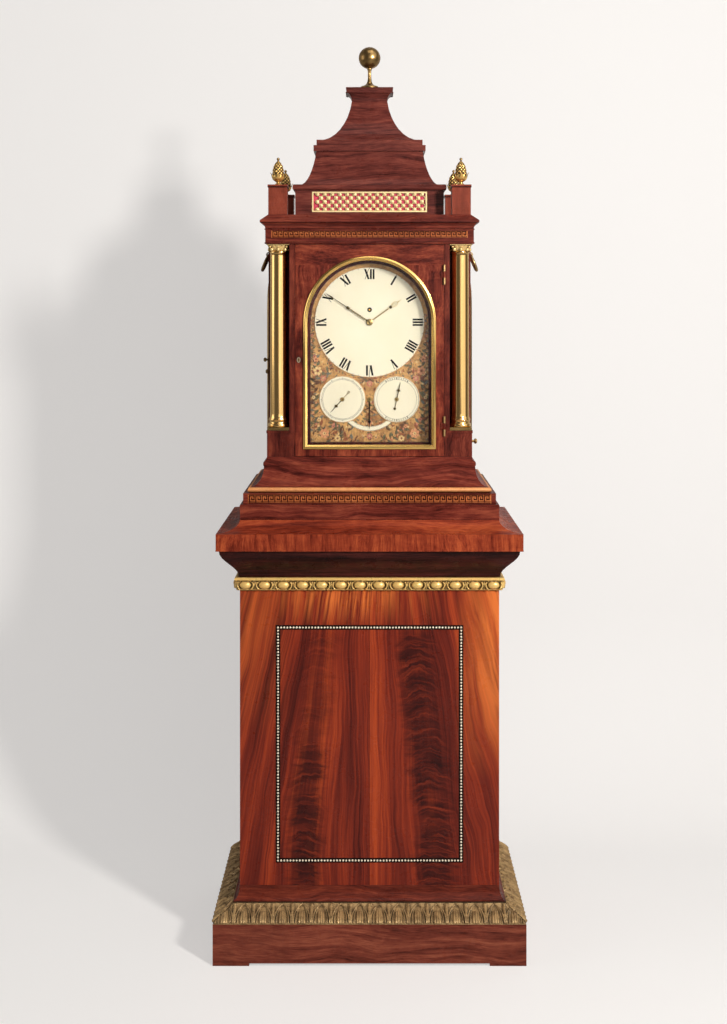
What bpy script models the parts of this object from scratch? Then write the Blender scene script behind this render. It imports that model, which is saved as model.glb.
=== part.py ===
"""Musical bracket clock standing on its pedestal.

Metres, +Z up. X runs to the right as the dial is faced, Y runs back from the dial.
The origin is on the floor, under the middle of the plinth. Clock and pedestal share
one flat back, and every moulding stands out from the case alike at front and sides.
"""
import math

import bmesh
import bpy
from mathutils import Matrix, Vector

# Seats, running clearances and facets
SEAT_GAP = 0.0003
DOOR_GAP = 0.0008
BORE_CLEARANCE = 0.0006
CUT_OVERRUN = 0.004
ROUND_STEPS = 20
SMALL_STEPS = 8
DIAL_STEPS = 48
COLUMN_STEPS = 16
ARCH_STEPS = 16

# Case, from which every moulding is set out
CASE_WIDTH = 0.4066
BOARD_THICKNESS = 0.012

# Heights of the pedestal, from the floor up
PLINTH_HEIGHT = 0.079
LEAF_HEIGHT = 0.0297
SKIRTING_HEIGHT = 0.0269
DIE_HEIGHT = 0.5744
EGG_BAND_HEIGHT = 0.026
CORNICE_HEIGHT = 0.056
LEDGE_HEIGHT = 0.0333
LEDGE_SLOPE_HEIGHT = 0.0217

# Heights of the clock base
BASE_BLOCK_HEIGHT = 0.0295
KEY_BAND_HEIGHT = 0.0212
STRIP_HEIGHT = 0.0107
CAVETTO_HEIGHT = 0.0385
TORUS_HEIGHT = 0.018

# How far each level stands out beyond the one it dies against
TORUS_REACH = 0.0072
CAVETTO_TOP_REACH = 0.0057
CAVETTO_REACH = 0.024
STRIP_REACH = 0.0055
KEY_BAND_REACH = 0.0083
BASE_BLOCK_REACH = 0.0056
LEDGE_REACH = 0.0429
CORNICE_STEP_BACK = 0.0055
CORNICE_FOOT_REACH = 0.0016
EGG_BACKING_REACH = 0.0074
SKIRTING_REACH = 0.0121
LEAF_REACH = 0.0355
PLINTH_LIP = 0.0005

# Pedestal carcass and ornament
FOOT_LENGTH = 0.07
FOOT_HEIGHT = 0.005
DIE_BOARD_THICKNESS = 0.02
BEAD_FRAME_WIDTH = 0.362
BEAD_FRAME_HEIGHT = 0.459
BEAD_FRAME_RAIL = 0.0055
BEAD_FRAME_PROUD = 0.0035
BEAD_FRAME_DROP = 0.0695
EGG_PITCH = 0.0371
EGG_LENGTH = 0.031
EGG_HEIGHT = 0.0215
EGG_PROUD = 0.0072
EGG_AROUND = 6
EGG_RINGS = 4

# Corner posts and columns
POST_STILE = 0.0105
RECESS = 0.0445
COLUMN_BLOCK_HEIGHT = 0.0467
BLOCK_CAP_HEIGHT = 0.005
BLOCK_CAP_REACH = 0.0012
COLUMN_RADIUS = 0.0175
COLUMN_BASE_HEIGHT = 0.0258
COLUMN_BASE_SQUARE = 0.044
COLUMN_PLATE_HEIGHT = 0.0069
CAPITAL_HEIGHT = 0.0151
CAPITAL_LOBES = 8

# Front door
DOOR_THICKNESS = 0.022
BEZEL_HALF_WIDTH = 0.132
BEZEL_WIDTH = 0.009
BEZEL_PROUD = 0.0045
BEZEL_LAP = 0.0062
BEZEL_FOOT = 0.015
GLASS_THICKNESS = 0.002
GLASS_DEPTH = 0.006
HINGE_RADIUS = 0.0026
HINGE_PIN_RADIUS = 0.0013
HINGE_LENGTH = 0.039
HINGE_INSET = 0.041
HINGE_LEAF_WIDTH = 0.006

# Dial
DIAL_CENTRE_HEIGHT = 0.2665
MASK_SETBACK = 0.0015
MASK_THICKNESS = 0.010
MASK_HALF_OPENING = 0.118
MASK_FOOT = 0.0267
DIAL_PLATE_THICKNESS = 0.0025
DIAL_PLATE_LAP = 0.006
MAIN_DIAL_RADIUS = 0.1097
MAIN_DIAL_THICKNESS = 0.0022
SUB_DIAL_RADIUS = 0.0459
SUB_DIAL_THICKNESS = 0.0016
SUB_DIAL_SPREAD = 0.109
SUB_DIAL_HEIGHT = 0.112
WINDING_RISE = 0.025
WINDING_HOLE_RADIUS = 0.0045

# Hands
PIPE_RADIUS = 0.0042
ARBOR_RADIUS = 0.0022
HAND_THICKNESS = 0.0009
HAND_SPACING = 0.0012
HOUR_HAND_REACH = 0.079
MINUTE_HAND_REACH = 0.105
HAND_HUB_RADIUS = 0.0066
SMALL_HAND_REACH = 0.035
SMALL_HAND_TAIL = 0.022
SMALL_HUB_RADIUS = 0.0036
TUNE_HAND_REACH = 0.0585
HOUR_ANGLE = 54.4
MINUTE_ANGLE = 303.5
LEFT_HAND_ANGLE = 222.0
RIGHT_HAND_ANGLE = 12.0

# Entablature and roof ornaments
FRIEZE_REACH = 0.0032
FRIEZE_HEIGHT = 0.0293
CORNICE_REACH = 0.0101
CORNICE_COVE_HEIGHT = 0.0127
NOSING_HEIGHT = 0.0046
ROOF_SLOPE_HEIGHT = 0.0119
ROOF_INSET = 0.0023
FINIAL_BLOCK_WIDTH = 0.0373
FINIAL_BLOCK_HEIGHT = 0.0595
FINIAL_CAP_HEIGHT = 0.0034
FINIAL_CAP_REACH = 0.0012
PINEAPPLE_HEIGHT = 0.054
PINEAPPLE_RADIUS = 0.0108
PINEAPPLE_LOBES = 6

# Pagoda top
PAGODA_WIDTH = 0.300
PAGODA_DEPTH = 0.190
PAGODA_FRIEZE_HEIGHT = 0.052
PAGODA_BAND_HEIGHT = 0.0119
PAGODA_BAND_REACH = 0.0032
LOWER_STAGE_HEIGHT = 0.0701
LOWER_STAGE_FOOT_SHARE = 0.933
LOWER_STAGE_NECK_SHARE = 0.7225
LOWER_STAGE_EASE_SHARE = 0.30
UPPER_BAND_HEIGHT = 0.012
UPPER_BAND_SHARE = 0.76
UPPER_STEP_HEIGHT = 0.0114
UPPER_STAGE_FOOT_SHARE = 0.68
UPPER_STAGE_HEIGHT = 0.085
UPPER_STAGE_NECK_SHARE = 0.244
UPPER_STAGE_EASE_SHARE = 0.17
CORBEL_HEIGHT = 0.017
CAP_HEIGHT = 0.011
CAP_SHARE = 0.319
BALL_RADIUS = 0.0227
BALL_STEM_HEIGHT = 0.042
BALL_FOOT_RADIUS = 0.018
BALL_NECK_RADIUS = 0.004
BALL_STEPS = 8

# Pierced fret and its silk
FRET_WIDTH = 0.232
FRET_HEIGHT = 0.041
FRET_THICKNESS = 0.003
FRET_RIM = 0.0032
FRET_BAR = 0.0024
FRET_COLUMNS = 8
FRET_ROWS = 5
SILK_THICKNESS = 0.001

# Arched frets in the case sides
SIDE_FRET_WIDTH = 0.126
SIDE_FRET_HEIGHT = 0.312
SIDE_FRET_FOOT = 0.043
SIDE_FRET_RAIL = 0.010
SIDE_FRET_PROUD = 0.0075
SIDE_FRET_BAR = 0.004
SIDE_FRET_BARS = 3
SIDE_FRET_ROWS = 3

# Ring handles
HANDLE_RISE = 0.052
HANDLE_DROP = 0.015
HANDLE_BOSS_RADIUS = 0.0115
HANDLE_BOSS_THICKNESS = 0.003
HANDLE_RING_RADIUS = 0.0175
HANDLE_SECTION_RADIUS = 0.0032
HANDLE_LUG_WIDTH = 0.007
HANDLE_LUG_WALL = 0.0022
HANDLE_CLEARANCE = 0.0009
HANDLE_LEAN = 23.0

# Side lever and pull knob
SIDE_FITTING_SETBACK = 0.022
LEVER_HEIGHT = 0.166
LEVER_ARM = 0.024
LEVER_TAIL = 0.027
LEVER_WIDTH = 0.007
LEVER_THICKNESS = 0.003
LEVER_HUB_RADIUS = 0.006
LEVER_PIN_RADIUS = 0.0026
LEVER_HEAD_RADIUS = 0.0045
LEVER_KNOB_RADIUS = 0.0042
LEVER_KNOB_LENGTH = 0.009
LEVER_PIN_LENGTH = 0.024
KNOB_HEIGHT = 0.024
KNOB_RADIUS = 0.0055
KNOB_LENGTH = 0.016
KNOB_STEM_RADIUS = 0.0025
KNOB_STEM_LENGTH = 0.038

# Back frame and door
BACK_RECESS = 0.008
BACK_FRAME_RAIL = 0.052
BACK_FRAME_SILL = 0.030

# Movement
SEAT_BOARD_RISE = 0.035
SEAT_BOARD_THICKNESS = 0.012
SEAT_BOARD_DEPTH = 0.115
MOVEMENT_SETBACK = 0.014
MOVEMENT_WIDTH = 0.190
MOVEMENT_HEIGHT = 0.322
MOVEMENT_PLATE = 0.0035
MOVEMENT_DEPTH = 0.080
PILLAR_RADIUS = 0.006
PILLAR_INSET = 0.014
BARREL_RADIUS = 0.036
BARREL_LENGTH = 0.046
GREAT_WHEEL_RADIUS = 0.042
GREAT_WHEEL_THICKNESS = 0.003
GREAT_WHEEL_TEETH = 16
WHEEL_TOOTH_SHARE = 0.94
WINDING_SQUARE = 0.0042
WINDING_ARBOR_RADIUS = 0.003
BRACKET_SPREAD = 0.172
BRACKET_THICKNESS = 0.004
PIN_BARREL_RADIUS = 0.032
PIN_BARREL_LENGTH = 0.150
PIN_BARREL_RISE = 0.180
PIN_BARREL_SETBACK = 0.065
PIN_BARREL_ROWS = 8
PIN_BARREL_SIDES = 16
PIN_HEIGHT = 0.0025
PIN_INSET = 0.004
TUNE_PIN_STRIDE = 7
HAMMER_COUNT = 5
HAMMER_SPACING = 0.023
HAMMER_THICKNESS = 0.004
HAMMER_ROD_RADIUS = 0.0022
HAMMER_HUB_RADIUS = 0.0055
HAMMER_ARM_WIDTH = 0.0036
HAMMER_HEAD_WIDTH = 0.010
HAMMER_HEAD_LENGTH = 0.006
HAMMER_SETBACK = 0.096
HAMMER_RISE = 0.236
HAMMER_TAIL_GAP = 0.002
BELL_RISE = 0.300
BELL_SETBACK = 0.062
BELL_LARGE_RADIUS = 0.037
BELL_SMALL_RADIUS = 0.021
BELL_WALL = 0.0018
BELL_DEPTH_SHARE = 0.72
BELL_ROD_RADIUS = 0.003
BELL_STRIKE_ANGLE = -52.0
BELL_STEPS = 3
PENDULUM_LENGTH = 0.245
PENDULUM_RISE = 0.300
PENDULUM_GAP = 0.014
PENDULUM_ROD_RADIUS = 0.0016
BOB_RADIUS = 0.030
BOB_THICKNESS = 0.012
COCK_WIDTH = 0.012
SPACE_BEHIND_HAMMERS = 0.0432

# The case is as high as what its sides carry, and as deep as the dial, movement and music work
HANDLE_HEIGHT = SIDE_FRET_FOOT + SIDE_FRET_HEIGHT + HANDLE_RISE
CASE_HEIGHT = HANDLE_HEIGHT + HANDLE_DROP
DIAL_DEPTH = DOOR_THICKNESS + MASK_SETBACK + MASK_THICKNESS + SEAT_GAP + DIAL_PLATE_THICKNESS
MUSIC_DEPTH = MOVEMENT_PLATE + HAMMER_SETBACK + SPACE_BEHIND_HAMMERS
CASE_DEPTH = DIAL_DEPTH + MOVEMENT_SETBACK + MOVEMENT_DEPTH + MUSIC_DEPTH + BOARD_THICKNESS + BACK_RECESS

# Planes that the pieces share
CASE_HALF = CASE_WIDTH / 2
CAVETTO_TOP = CAVETTO_TOP_REACH
CAVETTO_FOOT = CAVETTO_TOP + CAVETTO_REACH
STRIP_OUT = CAVETTO_FOOT + STRIP_REACH
KEY_BAND_OUT = STRIP_OUT + KEY_BAND_REACH
DIE_OUT = KEY_BAND_OUT + BASE_BLOCK_REACH
LEDGE_OUT = DIE_OUT + LEDGE_REACH
SKIRTING_OUT = DIE_OUT + SKIRTING_REACH
LEAF_OUT = SKIRTING_OUT + LEAF_REACH
PLINTH_OUT = LEAF_OUT + PLINTH_LIP
BACK_PLANE = (CASE_DEPTH + PLINTH_OUT) / 2
CASE_FRONT = BACK_PLANE - CASE_DEPTH

# Levels, each the top of the piece named
PLINTH_TOP = PLINTH_HEIGHT
LEAF_TOP = PLINTH_TOP + LEAF_HEIGHT
SKIRTING_TOP = LEAF_TOP + SKIRTING_HEIGHT
DIE_TOP = SKIRTING_TOP + DIE_HEIGHT
EGG_BAND_TOP = DIE_TOP + EGG_BAND_HEIGHT
CORNICE_TOP = EGG_BAND_TOP + CORNICE_HEIGHT
LEDGE_TOP = CORNICE_TOP + LEDGE_HEIGHT
PEDESTAL_TOP = LEDGE_TOP + LEDGE_SLOPE_HEIGHT
KEY_BAND_TOP = PEDESTAL_TOP + BASE_BLOCK_HEIGHT + KEY_BAND_HEIGHT
STRIP_TOP = KEY_BAND_TOP + STRIP_HEIGHT
CAVETTO_LEVEL = STRIP_TOP + CAVETTO_HEIGHT
BASE_TOP = CAVETTO_LEVEL + TORUS_HEIGHT
CASE_TOP = BASE_TOP + CASE_HEIGHT
ROOF_TOP = CASE_TOP + FRIEZE_HEIGHT + CORNICE_COVE_HEIGHT + NOSING_HEIGHT + ROOF_SLOPE_HEIGHT
CASE_FLOOR = BASE_TOP + SEAT_GAP
CASE_CEILING = CASE_TOP - SEAT_GAP
BLOCK_TOP = CASE_FLOOR + COLUMN_BLOCK_HEIGHT
BLOCK_CAP_TOP = BLOCK_TOP + BLOCK_CAP_HEIGHT
COLUMN_FOOT = BLOCK_CAP_TOP + SEAT_GAP
CAPITAL_FOOT = CASE_CEILING - CAPITAL_HEIGHT
DIAL_LEVEL = BASE_TOP + DIAL_CENTRE_HEIGHT

# Planes of the door and dial, from the front back
DOOR_HALF = CASE_HALF - RECESS - POST_STILE - DOOR_GAP
DOOR_BACK = CASE_FRONT + DOOR_THICKNESS
MASK_FRONT = DOOR_BACK + MASK_SETBACK
MASK_BACK = MASK_FRONT + MASK_THICKNESS
PLATE_FRONT = MASK_BACK + SEAT_GAP
PLATE_BACK = PLATE_FRONT + DIAL_PLATE_THICKNESS
MAIN_DIAL_FRONT = PLATE_FRONT - SEAT_GAP - MAIN_DIAL_THICKNESS
SUB_DIAL_FRONT = PLATE_FRONT - SEAT_GAP - SUB_DIAL_THICKNESS
MOVEMENT_FRONT = PLATE_BACK + MOVEMENT_SETBACK
MOVEMENT_BACK = MOVEMENT_FRONT + MOVEMENT_DEPTH
SUB_DIAL_LEVEL = BASE_TOP + SUB_DIAL_HEIGHT
SIDE_INNER = CASE_HALF - BOARD_THICKNESS
RECESS_BACK = CASE_FRONT + RECESS
POST_BACK = RECESS_BACK + BOARD_THICKNESS
SIDE_START = POST_BACK + SEAT_GAP
SIDE_END = BACK_PLANE
SEAT_BOARD_TOP = BASE_TOP + SEAT_BOARD_RISE + SEAT_BOARD_THICKNESS
MOVEMENT_FLOOR = SEAT_BOARD_TOP + SEAT_GAP

# Places of the fittings, the back door, the roof and the movement
SIDES = ((-1, "left"), (1, "right"))
SIDE_MIDDLE = (SIDE_START + SIDE_END) / 2
FITTING_Y = SIDE_START + SIDE_FITTING_SETBACK
SIDE_FRET_LOW = BASE_TOP + SIDE_FRET_FOOT
SIDE_FRET_SPRINGING = SIDE_FRET_LOW + SIDE_FRET_HEIGHT - SIDE_FRET_WIDTH / 2
BEZEL_LOW = BASE_TOP + BEZEL_FOOT
FRONT_AXIS = (DOOR_HALF + DOOR_GAP / 2, CASE_FRONT - SEAT_GAP - HINGE_RADIUS)
BACK_FACE = BACK_PLANE - BACK_RECESS
BACK_OPENING_HALF = SIDE_INNER - BACK_FRAME_RAIL
BACK_OPENING_LOW = CASE_FLOOR + BACK_FRAME_SILL
BACK_OPENING_HIGH = CASE_CEILING - BACK_FRAME_RAIL
BACK_AXIS = (BACK_OPENING_HALF - DOOR_GAP / 2, BACK_FACE + SEAT_GAP + HINGE_RADIUS)
HANDLE_BORE_RADIUS = HANDLE_SECTION_RADIUS + HANDLE_CLEARANCE
HANDLE_LUG_RADIUS = HANDLE_BORE_RADIUS + HANDLE_LUG_WALL
HANDLE_AXIS = CASE_HALF + SEAT_GAP + HANDLE_BOSS_THICKNESS / 2 + HANDLE_LUG_RADIUS
FINIAL_BLOCK_TOP = ROOF_TOP + FINIAL_BLOCK_HEIGHT
PAGODA_Y = (CASE_FRONT + BACK_PLANE) / 2
PAGODA_FRONT = PAGODA_Y - PAGODA_DEPTH / 2
PAGODA_FRIEZE_TOP = ROOF_TOP + PAGODA_FRIEZE_HEIGHT
FRET_LOW = ROOF_TOP + (PAGODA_FRIEZE_HEIGHT - FRET_HEIGHT) * 0.75
MOVEMENT_REAR = MOVEMENT_BACK + MOVEMENT_PLATE
BARREL_CENTRE = (MOVEMENT_REAR + PIN_BARREL_SETBACK, MOVEMENT_FLOOR + PIN_BARREL_RISE)
HAMMER_CENTRE = (MOVEMENT_REAR + HAMMER_SETBACK, MOVEMENT_FLOOR + HAMMER_RISE)
BELL_CENTRE = (MOVEMENT_REAR + BELL_SETBACK, MOVEMENT_FLOOR + BELL_RISE)
PENDULUM_Y = MOVEMENT_REAR + PENDULUM_GAP
PENDULUM_PIVOT = MOVEMENT_FLOOR + PENDULUM_RISE

MATERIALS = {
    "mahogany": ((0.24, 0.050, 0.022), 0.35, 0.0),
    "dark_mahogany": ((0.060, 0.016, 0.012), 0.35, 0.0),
    "gilt_wood": ((0.55, 0.33, 0.10), 0.45, 0.7),
    "brass": ((0.70, 0.50, 0.20), 0.30, 1.0),
    "bell_metal": ((0.62, 0.52, 0.34), 0.35, 1.0),
    "enamel": ((0.93, 0.87, 0.66), 0.25, 0.0),
    "painted_metal": ((0.62, 0.42, 0.20), 0.45, 0.0),
    "blued_steel": ((0.10, 0.09, 0.08), 0.35, 1.0),
    "silk": ((0.62, 0.07, 0.13), 0.85, 0.0),
    "glass": ((0.90, 0.95, 0.95), 0.05, 0.0),
}


# Scene and materials

def clear_scene():
    for item in list(bpy.data.objects):
        bpy.data.objects.remove(item, do_unlink=True)


def material(name):
    found = bpy.data.materials.get(name)
    if found:
        return found
    colour, roughness, metallic = MATERIALS[name]
    made = bpy.data.materials.new(name)
    made.use_nodes = True
    shader = made.node_tree.nodes["Principled BSDF"]
    shader.inputs["Base Color"].default_value = (*colour, 1.0)
    shader.inputs["Roughness"].default_value = roughness
    shader.inputs["Metallic"].default_value = metallic
    if name == "glass":
        shader.inputs["Transmission Weight"].default_value = 1.0
    return made


def finish(name, bm, material_name, place=None, smooth=False, cutter=False):
    """Close a bmesh into a named object, turned and placed by one matrix."""
    bmesh.ops.recalc_face_normals(bm, faces=bm.faces)
    mesh = bpy.data.meshes.new(name)
    bm.to_mesh(mesh)
    bm.free()
    if smooth:
        mesh.shade_smooth()
        mesh.set_sharp_from_angle(angle=math.radians(35.0))
    made = bpy.data.objects.new(name, mesh)
    mesh.materials.append(material(material_name))
    bpy.context.scene.collection.objects.link(made)
    if place is not None:
        made.matrix_world = place
    if cutter:
        made.hide_render = True
        made.display_type = "WIRE"
    return made


def boolean(target, other, operation):
    modifier = target.modifiers.new(operation.lower(), "BOOLEAN")
    modifier.operation = operation
    modifier.solver = "EXACT"
    modifier.object = other
    return modifier


# Turning and moving frames

def facing_front(x, y, z):
    """A frame whose Z points out of the dial, with X to the right and Y up."""
    return Matrix.Translation((x, y, z)) @ Matrix.Rotation(math.radians(90.0), 4, "X")


def side_frame(side, distance):
    """A frame whose Z points out of one case side, with X along the case and Y up.
    Places along the case are multiplied by side, because X runs back on the right only."""
    turn = Matrix(((0.0, 0.0, side, 0.0), (side, 0.0, 0.0, 0.0), (0.0, 1.0, 0.0, 0.0), (0.0, 0.0, 0.0, 1.0)))
    return Matrix.Translation((side * distance, 0.0, 0.0)) @ turn


def upright(x, y, z):
    return Matrix.Translation((x, y, z))


def move_new(bm, before, frame):
    """Place the vertices that were added since before was noted."""
    fresh = [vert for vert in bm.verts if vert not in before]
    bmesh.ops.transform(bm, matrix=frame, verts=fresh)


# Outlines in the plane

def mixed(first, last, share):
    return first + (last - first) * share


def circle(radius, steps, centre=(0.0, 0.0)):
    points = []
    for step in range(steps):
        angle = math.tau * step / steps
        points.append((centre[0] + radius * math.cos(angle), centre[1] + radius * math.sin(angle)))
    return points


def box_outline(left, right, low, high):
    return [(left, low), (right, low), (right, high), (left, high)]


def arch_outline(half, foot, springing, steps=ARCH_STEPS):
    """A round-headed opening: straight sides up to the springing, then a half circle."""
    points = [(-half, foot), (half, foot)]
    for step in range(steps + 1):
        angle = math.pi * step / steps
        points.append((half * math.cos(angle), springing + half * math.sin(angle)))
    return points


def clock_angle(degrees):
    """Angle from +X, counter-clockwise, of a hand set clockwise from the top."""
    return math.radians(90.0 - degrees)


def spoked_outline(hub, spokes):
    """A hub with flat spokes; each spoke is an angle and its (distance, half width) stations."""
    ordered = sorted(spokes, key=lambda spoke: spoke[0] % math.tau)
    points = []
    for index, (angle, stations) in enumerate(ordered):
        along = (math.cos(angle), math.sin(angle))
        across = (-along[1], along[0])
        root = stations[0][1]
        foot = (math.sqrt(hub * hub - root * root), root)
        rows = [foot] + list(stations[1:])
        for distance, half in rows:
            points.append(tuple(along[k] * distance - across[k] * half for k in range(2)))
        for distance, half in reversed(rows):
            if half > 0:
                points.append(tuple(along[k] * distance + across[k] * half for k in range(2)))
        next_angle, next_stations = ordered[(index + 1) % len(ordered)]
        start = angle + math.asin(root / hub)
        end = next_angle - math.asin(next_stations[0][1] / hub)
        while end <= start:
            end += math.tau
        count = max(1, round((end - start) / math.radians(36.0)))
        for step in range(1, count):
            bend = mixed(start, end, step / count)
            points.append((hub * math.cos(bend), hub * math.sin(bend)))
    return points


# Moulding profiles, as (projection, height) points from the bottom up

def curve_between(start, end, kind, steps=6):
    """Points from start to end: 'cove' leaves level and arrives upright, 'flare' leaves upright
    and arrives level, and 'ogee' is upright at both ends."""
    points = []
    for step in range(steps + 1):
        share = step / steps
        turn = share * math.pi / 2
        if kind == "cove":
            across = math.sin(turn)
            up = 1 - math.cos(turn)
        elif kind == "flare":
            across = 1 - math.cos(turn)
            up = math.sin(turn)
        else:
            across = (1 - math.cos(2 * turn)) / 2
            up = share
        points.append((mixed(start[0], end[0], across), mixed(start[1], end[1], up)))
    return points


def half_round(reach, low, high, bulge, steps=6):
    """A bead standing out by bulge between two heights."""
    middle = (low + high) / 2
    points = []
    for step in range(steps + 1):
        turn = math.pi * step / steps - math.pi / 2
        points.append((reach + bulge * math.cos(turn), middle + (high - low) / 2 * math.sin(turn)))
    return points


# Solids

def skin(bm, loops, closed=False):
    """Join loops of equal length, and cap the first and last unless they close on each other."""
    rows = []
    for loop in loops:
        rows.append([bm.verts.new(point) for point in loop])
    pairs = list(zip(rows, rows[1:]))
    if closed:
        pairs.append((rows[-1], rows[0]))
    for low, high in pairs:
        for index in range(len(low)):
            after = (index + 1) % len(low)
            bm.faces.new((low[index], low[after], high[after], high[index]))
    if not closed:
        bm.faces.new(list(reversed(rows[0])))
        bm.faces.new(rows[-1])


def prism(bm, outline, low, high):
    skin(bm, [[(x, y, low) for x, y in outline], [(x, y, high) for x, y in outline]])


def add_box(bm, x_range, y_range, z_range):
    prism(bm, box_outline(*x_range, *y_range), *z_range)


def fill_between(bm, outlines, level):
    """Flat faces between an outer outline and the holes in it."""
    edges = []
    for outline in outlines:
        verts = [bm.verts.new((x, y, level)) for x, y in outline]
        for index, vert in enumerate(verts):
            edges.append(bm.edges.new((vert, verts[(index + 1) % len(verts)])))
    filled = bmesh.ops.triangle_fill(bm, edges=edges, use_beauty=True, use_dissolve=False)
    return [item for item in filled["geom"] if isinstance(item, bmesh.types.BMFace)]


def extrude_up(bm, faces, height):
    grown = bmesh.ops.extrude_face_region(bm, geom=faces)
    moved = [item for item in grown["geom"] if isinstance(item, bmesh.types.BMVert)]
    bmesh.ops.translate(bm, verts=moved, vec=(0.0, 0.0, height))


def pierced_plate(bm, outline, holes, low, high):
    extrude_up(bm, fill_between(bm, [outline] + holes, low), high - low)


def turned(bm, profile, steps=ROUND_STEPS):
    """Spin (radius, height) points about Z. A profile that starts and ends on the axis closes."""
    verts = [bm.verts.new((radius, 0.0, height)) for radius, height in profile]
    edges = [bm.edges.new(pair) for pair in zip(verts, verts[1:])]
    bmesh.ops.spin(bm, geom=verts + edges, axis=(0.0, 0.0, 1.0), cent=(0.0, 0.0, 0.0),
                   angle=math.tau, steps=steps, use_merge=True, use_duplicate=False)
    bmesh.ops.remove_doubles(bm, verts=bm.verts, dist=SEAT_GAP / 100)


def turned_tube(bm, profile, steps=ROUND_STEPS):
    """Spin a closed profile that keeps off the axis, such as a tube or a ring."""
    verts = [bm.verts.new((radius, 0.0, height)) for radius, height in profile]
    edges = [bm.edges.new((vert, verts[(index + 1) % len(verts)])) for index, vert in enumerate(verts)]
    bmesh.ops.spin(bm, geom=verts + edges, axis=(0.0, 0.0, 1.0), cent=(0.0, 0.0, 0.0),
                   angle=math.tau, steps=steps, use_merge=True, use_duplicate=False)
    bmesh.ops.remove_doubles(bm, verts=bm.verts, dist=SEAT_GAP / 100)


# Mouldings that run round the front and both sides

def level_loop(projection, height):
    half = CASE_HALF + projection
    return [(-half, CASE_FRONT - projection, height), (half, CASE_FRONT - projection, height),
            (half, BACK_PLANE, height), (-half, BACK_PLANE, height)]


def moulded_block(name, profile, material_name):
    bm = bmesh.new()
    skin(bm, [level_loop(projection, height) for projection, height in profile])
    return finish(name, bm, material_name)


def moulded_strip(name, section, material_name):
    """A closed section run round left side, front and right side, mitred at the corners."""
    bm = bmesh.new()
    corners = ((-1, 0), (-1, 1), (1, 1), (1, 0))
    loops = []
    for side, at_front in corners:
        loop = []
        for projection, height in section:
            y = CASE_FRONT - projection if at_front else BACK_PLANE
            loop.append((side * (CASE_HALF + projection), y, height))
        loops.append(loop)
    skin(bm, loops)
    return finish(name, bm, material_name)


def four_sided(bm, half_x, half_y, centre_y, profile):
    """Stack rectangles that keep one centre; the profile gives (share of the half sizes, height)."""
    loops = []
    for share, height in profile:
        x = half_x * share
        y = half_y * share
        loops.append([(-x, centre_y - y, height), (x, centre_y - y, height),
                      (x, centre_y + y, height), (-x, centre_y + y, height)])
    skin(bm, loops)


# Pedestal

def make_plinth():
    plinth = moulded_block("pedestal_plinth", [(PLINTH_OUT, 0.0), (PLINTH_OUT, PLINTH_TOP)], "mahogany")
    half = CASE_HALF + PLINTH_OUT
    front = CASE_FRONT - PLINTH_OUT
    for name, x_reach, y_low, y_high in (
            ("front_apron_cut", half - FOOT_LENGTH, front - CUT_OVERRUN, BACK_PLANE + CUT_OVERRUN),
            ("side_apron_cut", half + CUT_OVERRUN, front + FOOT_LENGTH, BACK_PLANE - FOOT_LENGTH)):
        bm = bmesh.new()
        add_box(bm, (-x_reach, x_reach), (y_low, y_high), (-CUT_OVERRUN, FOOT_HEIGHT))
        cutter = finish(name, bm, "mahogany", cutter=True)
        boolean(plinth, cutter, "DIFFERENCE")


def make_pedestal_mouldings():
    leaf_low = PLINTH_TOP + SEAT_GAP
    leaf = curve_between((LEAF_OUT, leaf_low), (SKIRTING_OUT, LEAF_TOP), "ogee", 8)
    moulded_block("pedestal_leaf_moulding", leaf, "gilt_wood")
    skirting = curve_between((SKIRTING_OUT, LEAF_TOP + SEAT_GAP), (DIE_OUT, SKIRTING_TOP), "cove")
    moulded_block("pedestal_skirting", skirting, "mahogany")
    foot = (DIE_OUT + CORNICE_FOOT_REACH, EGG_BAND_TOP + SEAT_GAP)
    cornice = curve_between(foot, (LEDGE_OUT - CORNICE_STEP_BACK, CORNICE_TOP), "ogee", 8)
    moulded_block("pedestal_cornice", cornice, "dark_mahogany")
    ledge = [(LEDGE_OUT, CORNICE_TOP + SEAT_GAP)]
    ledge += curve_between((LEDGE_OUT, LEDGE_TOP), (DIE_OUT, PEDESTAL_TOP), "cove")
    moulded_block("pedestal_top", ledge, "mahogany")


def make_pedestal_carcass():
    """Side boards and back in one piece, closed in front by the veneered panel."""
    half = CASE_HALF + DIE_OUT
    front = CASE_FRONT - DIE_OUT
    low = SKIRTING_TOP + SEAT_GAP
    front_back = front + DIE_BOARD_THICKNESS
    bm = bmesh.new()
    add_box(bm, (-half, half), (front, front_back), (low, DIE_TOP))
    finish("pedestal_front", bm, "mahogany")
    inner = half - DIE_BOARD_THICKNESS
    start = front_back + SEAT_GAP
    outline = [(-half, start), (-inner, start), (-inner, BACK_PLANE - DIE_BOARD_THICKNESS),
               (inner, BACK_PLANE - DIE_BOARD_THICKNESS), (inner, start), (half, start),
               (half, BACK_PLANE), (-half, BACK_PLANE)]
    bm = bmesh.new()
    prism(bm, outline, low, DIE_TOP)
    finish("pedestal_carcass", bm, "mahogany")


def make_bead_frame():
    half = BEAD_FRAME_WIDTH / 2
    high = DIE_TOP - BEAD_FRAME_DROP
    low = high - BEAD_FRAME_HEIGHT
    outer = box_outline(-half, half, low, high)
    inner = box_outline(-half + BEAD_FRAME_RAIL, half - BEAD_FRAME_RAIL,
                        low + BEAD_FRAME_RAIL, high - BEAD_FRAME_RAIL)
    bm = bmesh.new()
    pierced_plate(bm, outer, [inner], SEAT_GAP, BEAD_FRAME_PROUD)
    finish("pedestal_bead_frame", bm, "brass", facing_front(0.0, CASE_FRONT - DIE_OUT, 0.0))


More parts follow.
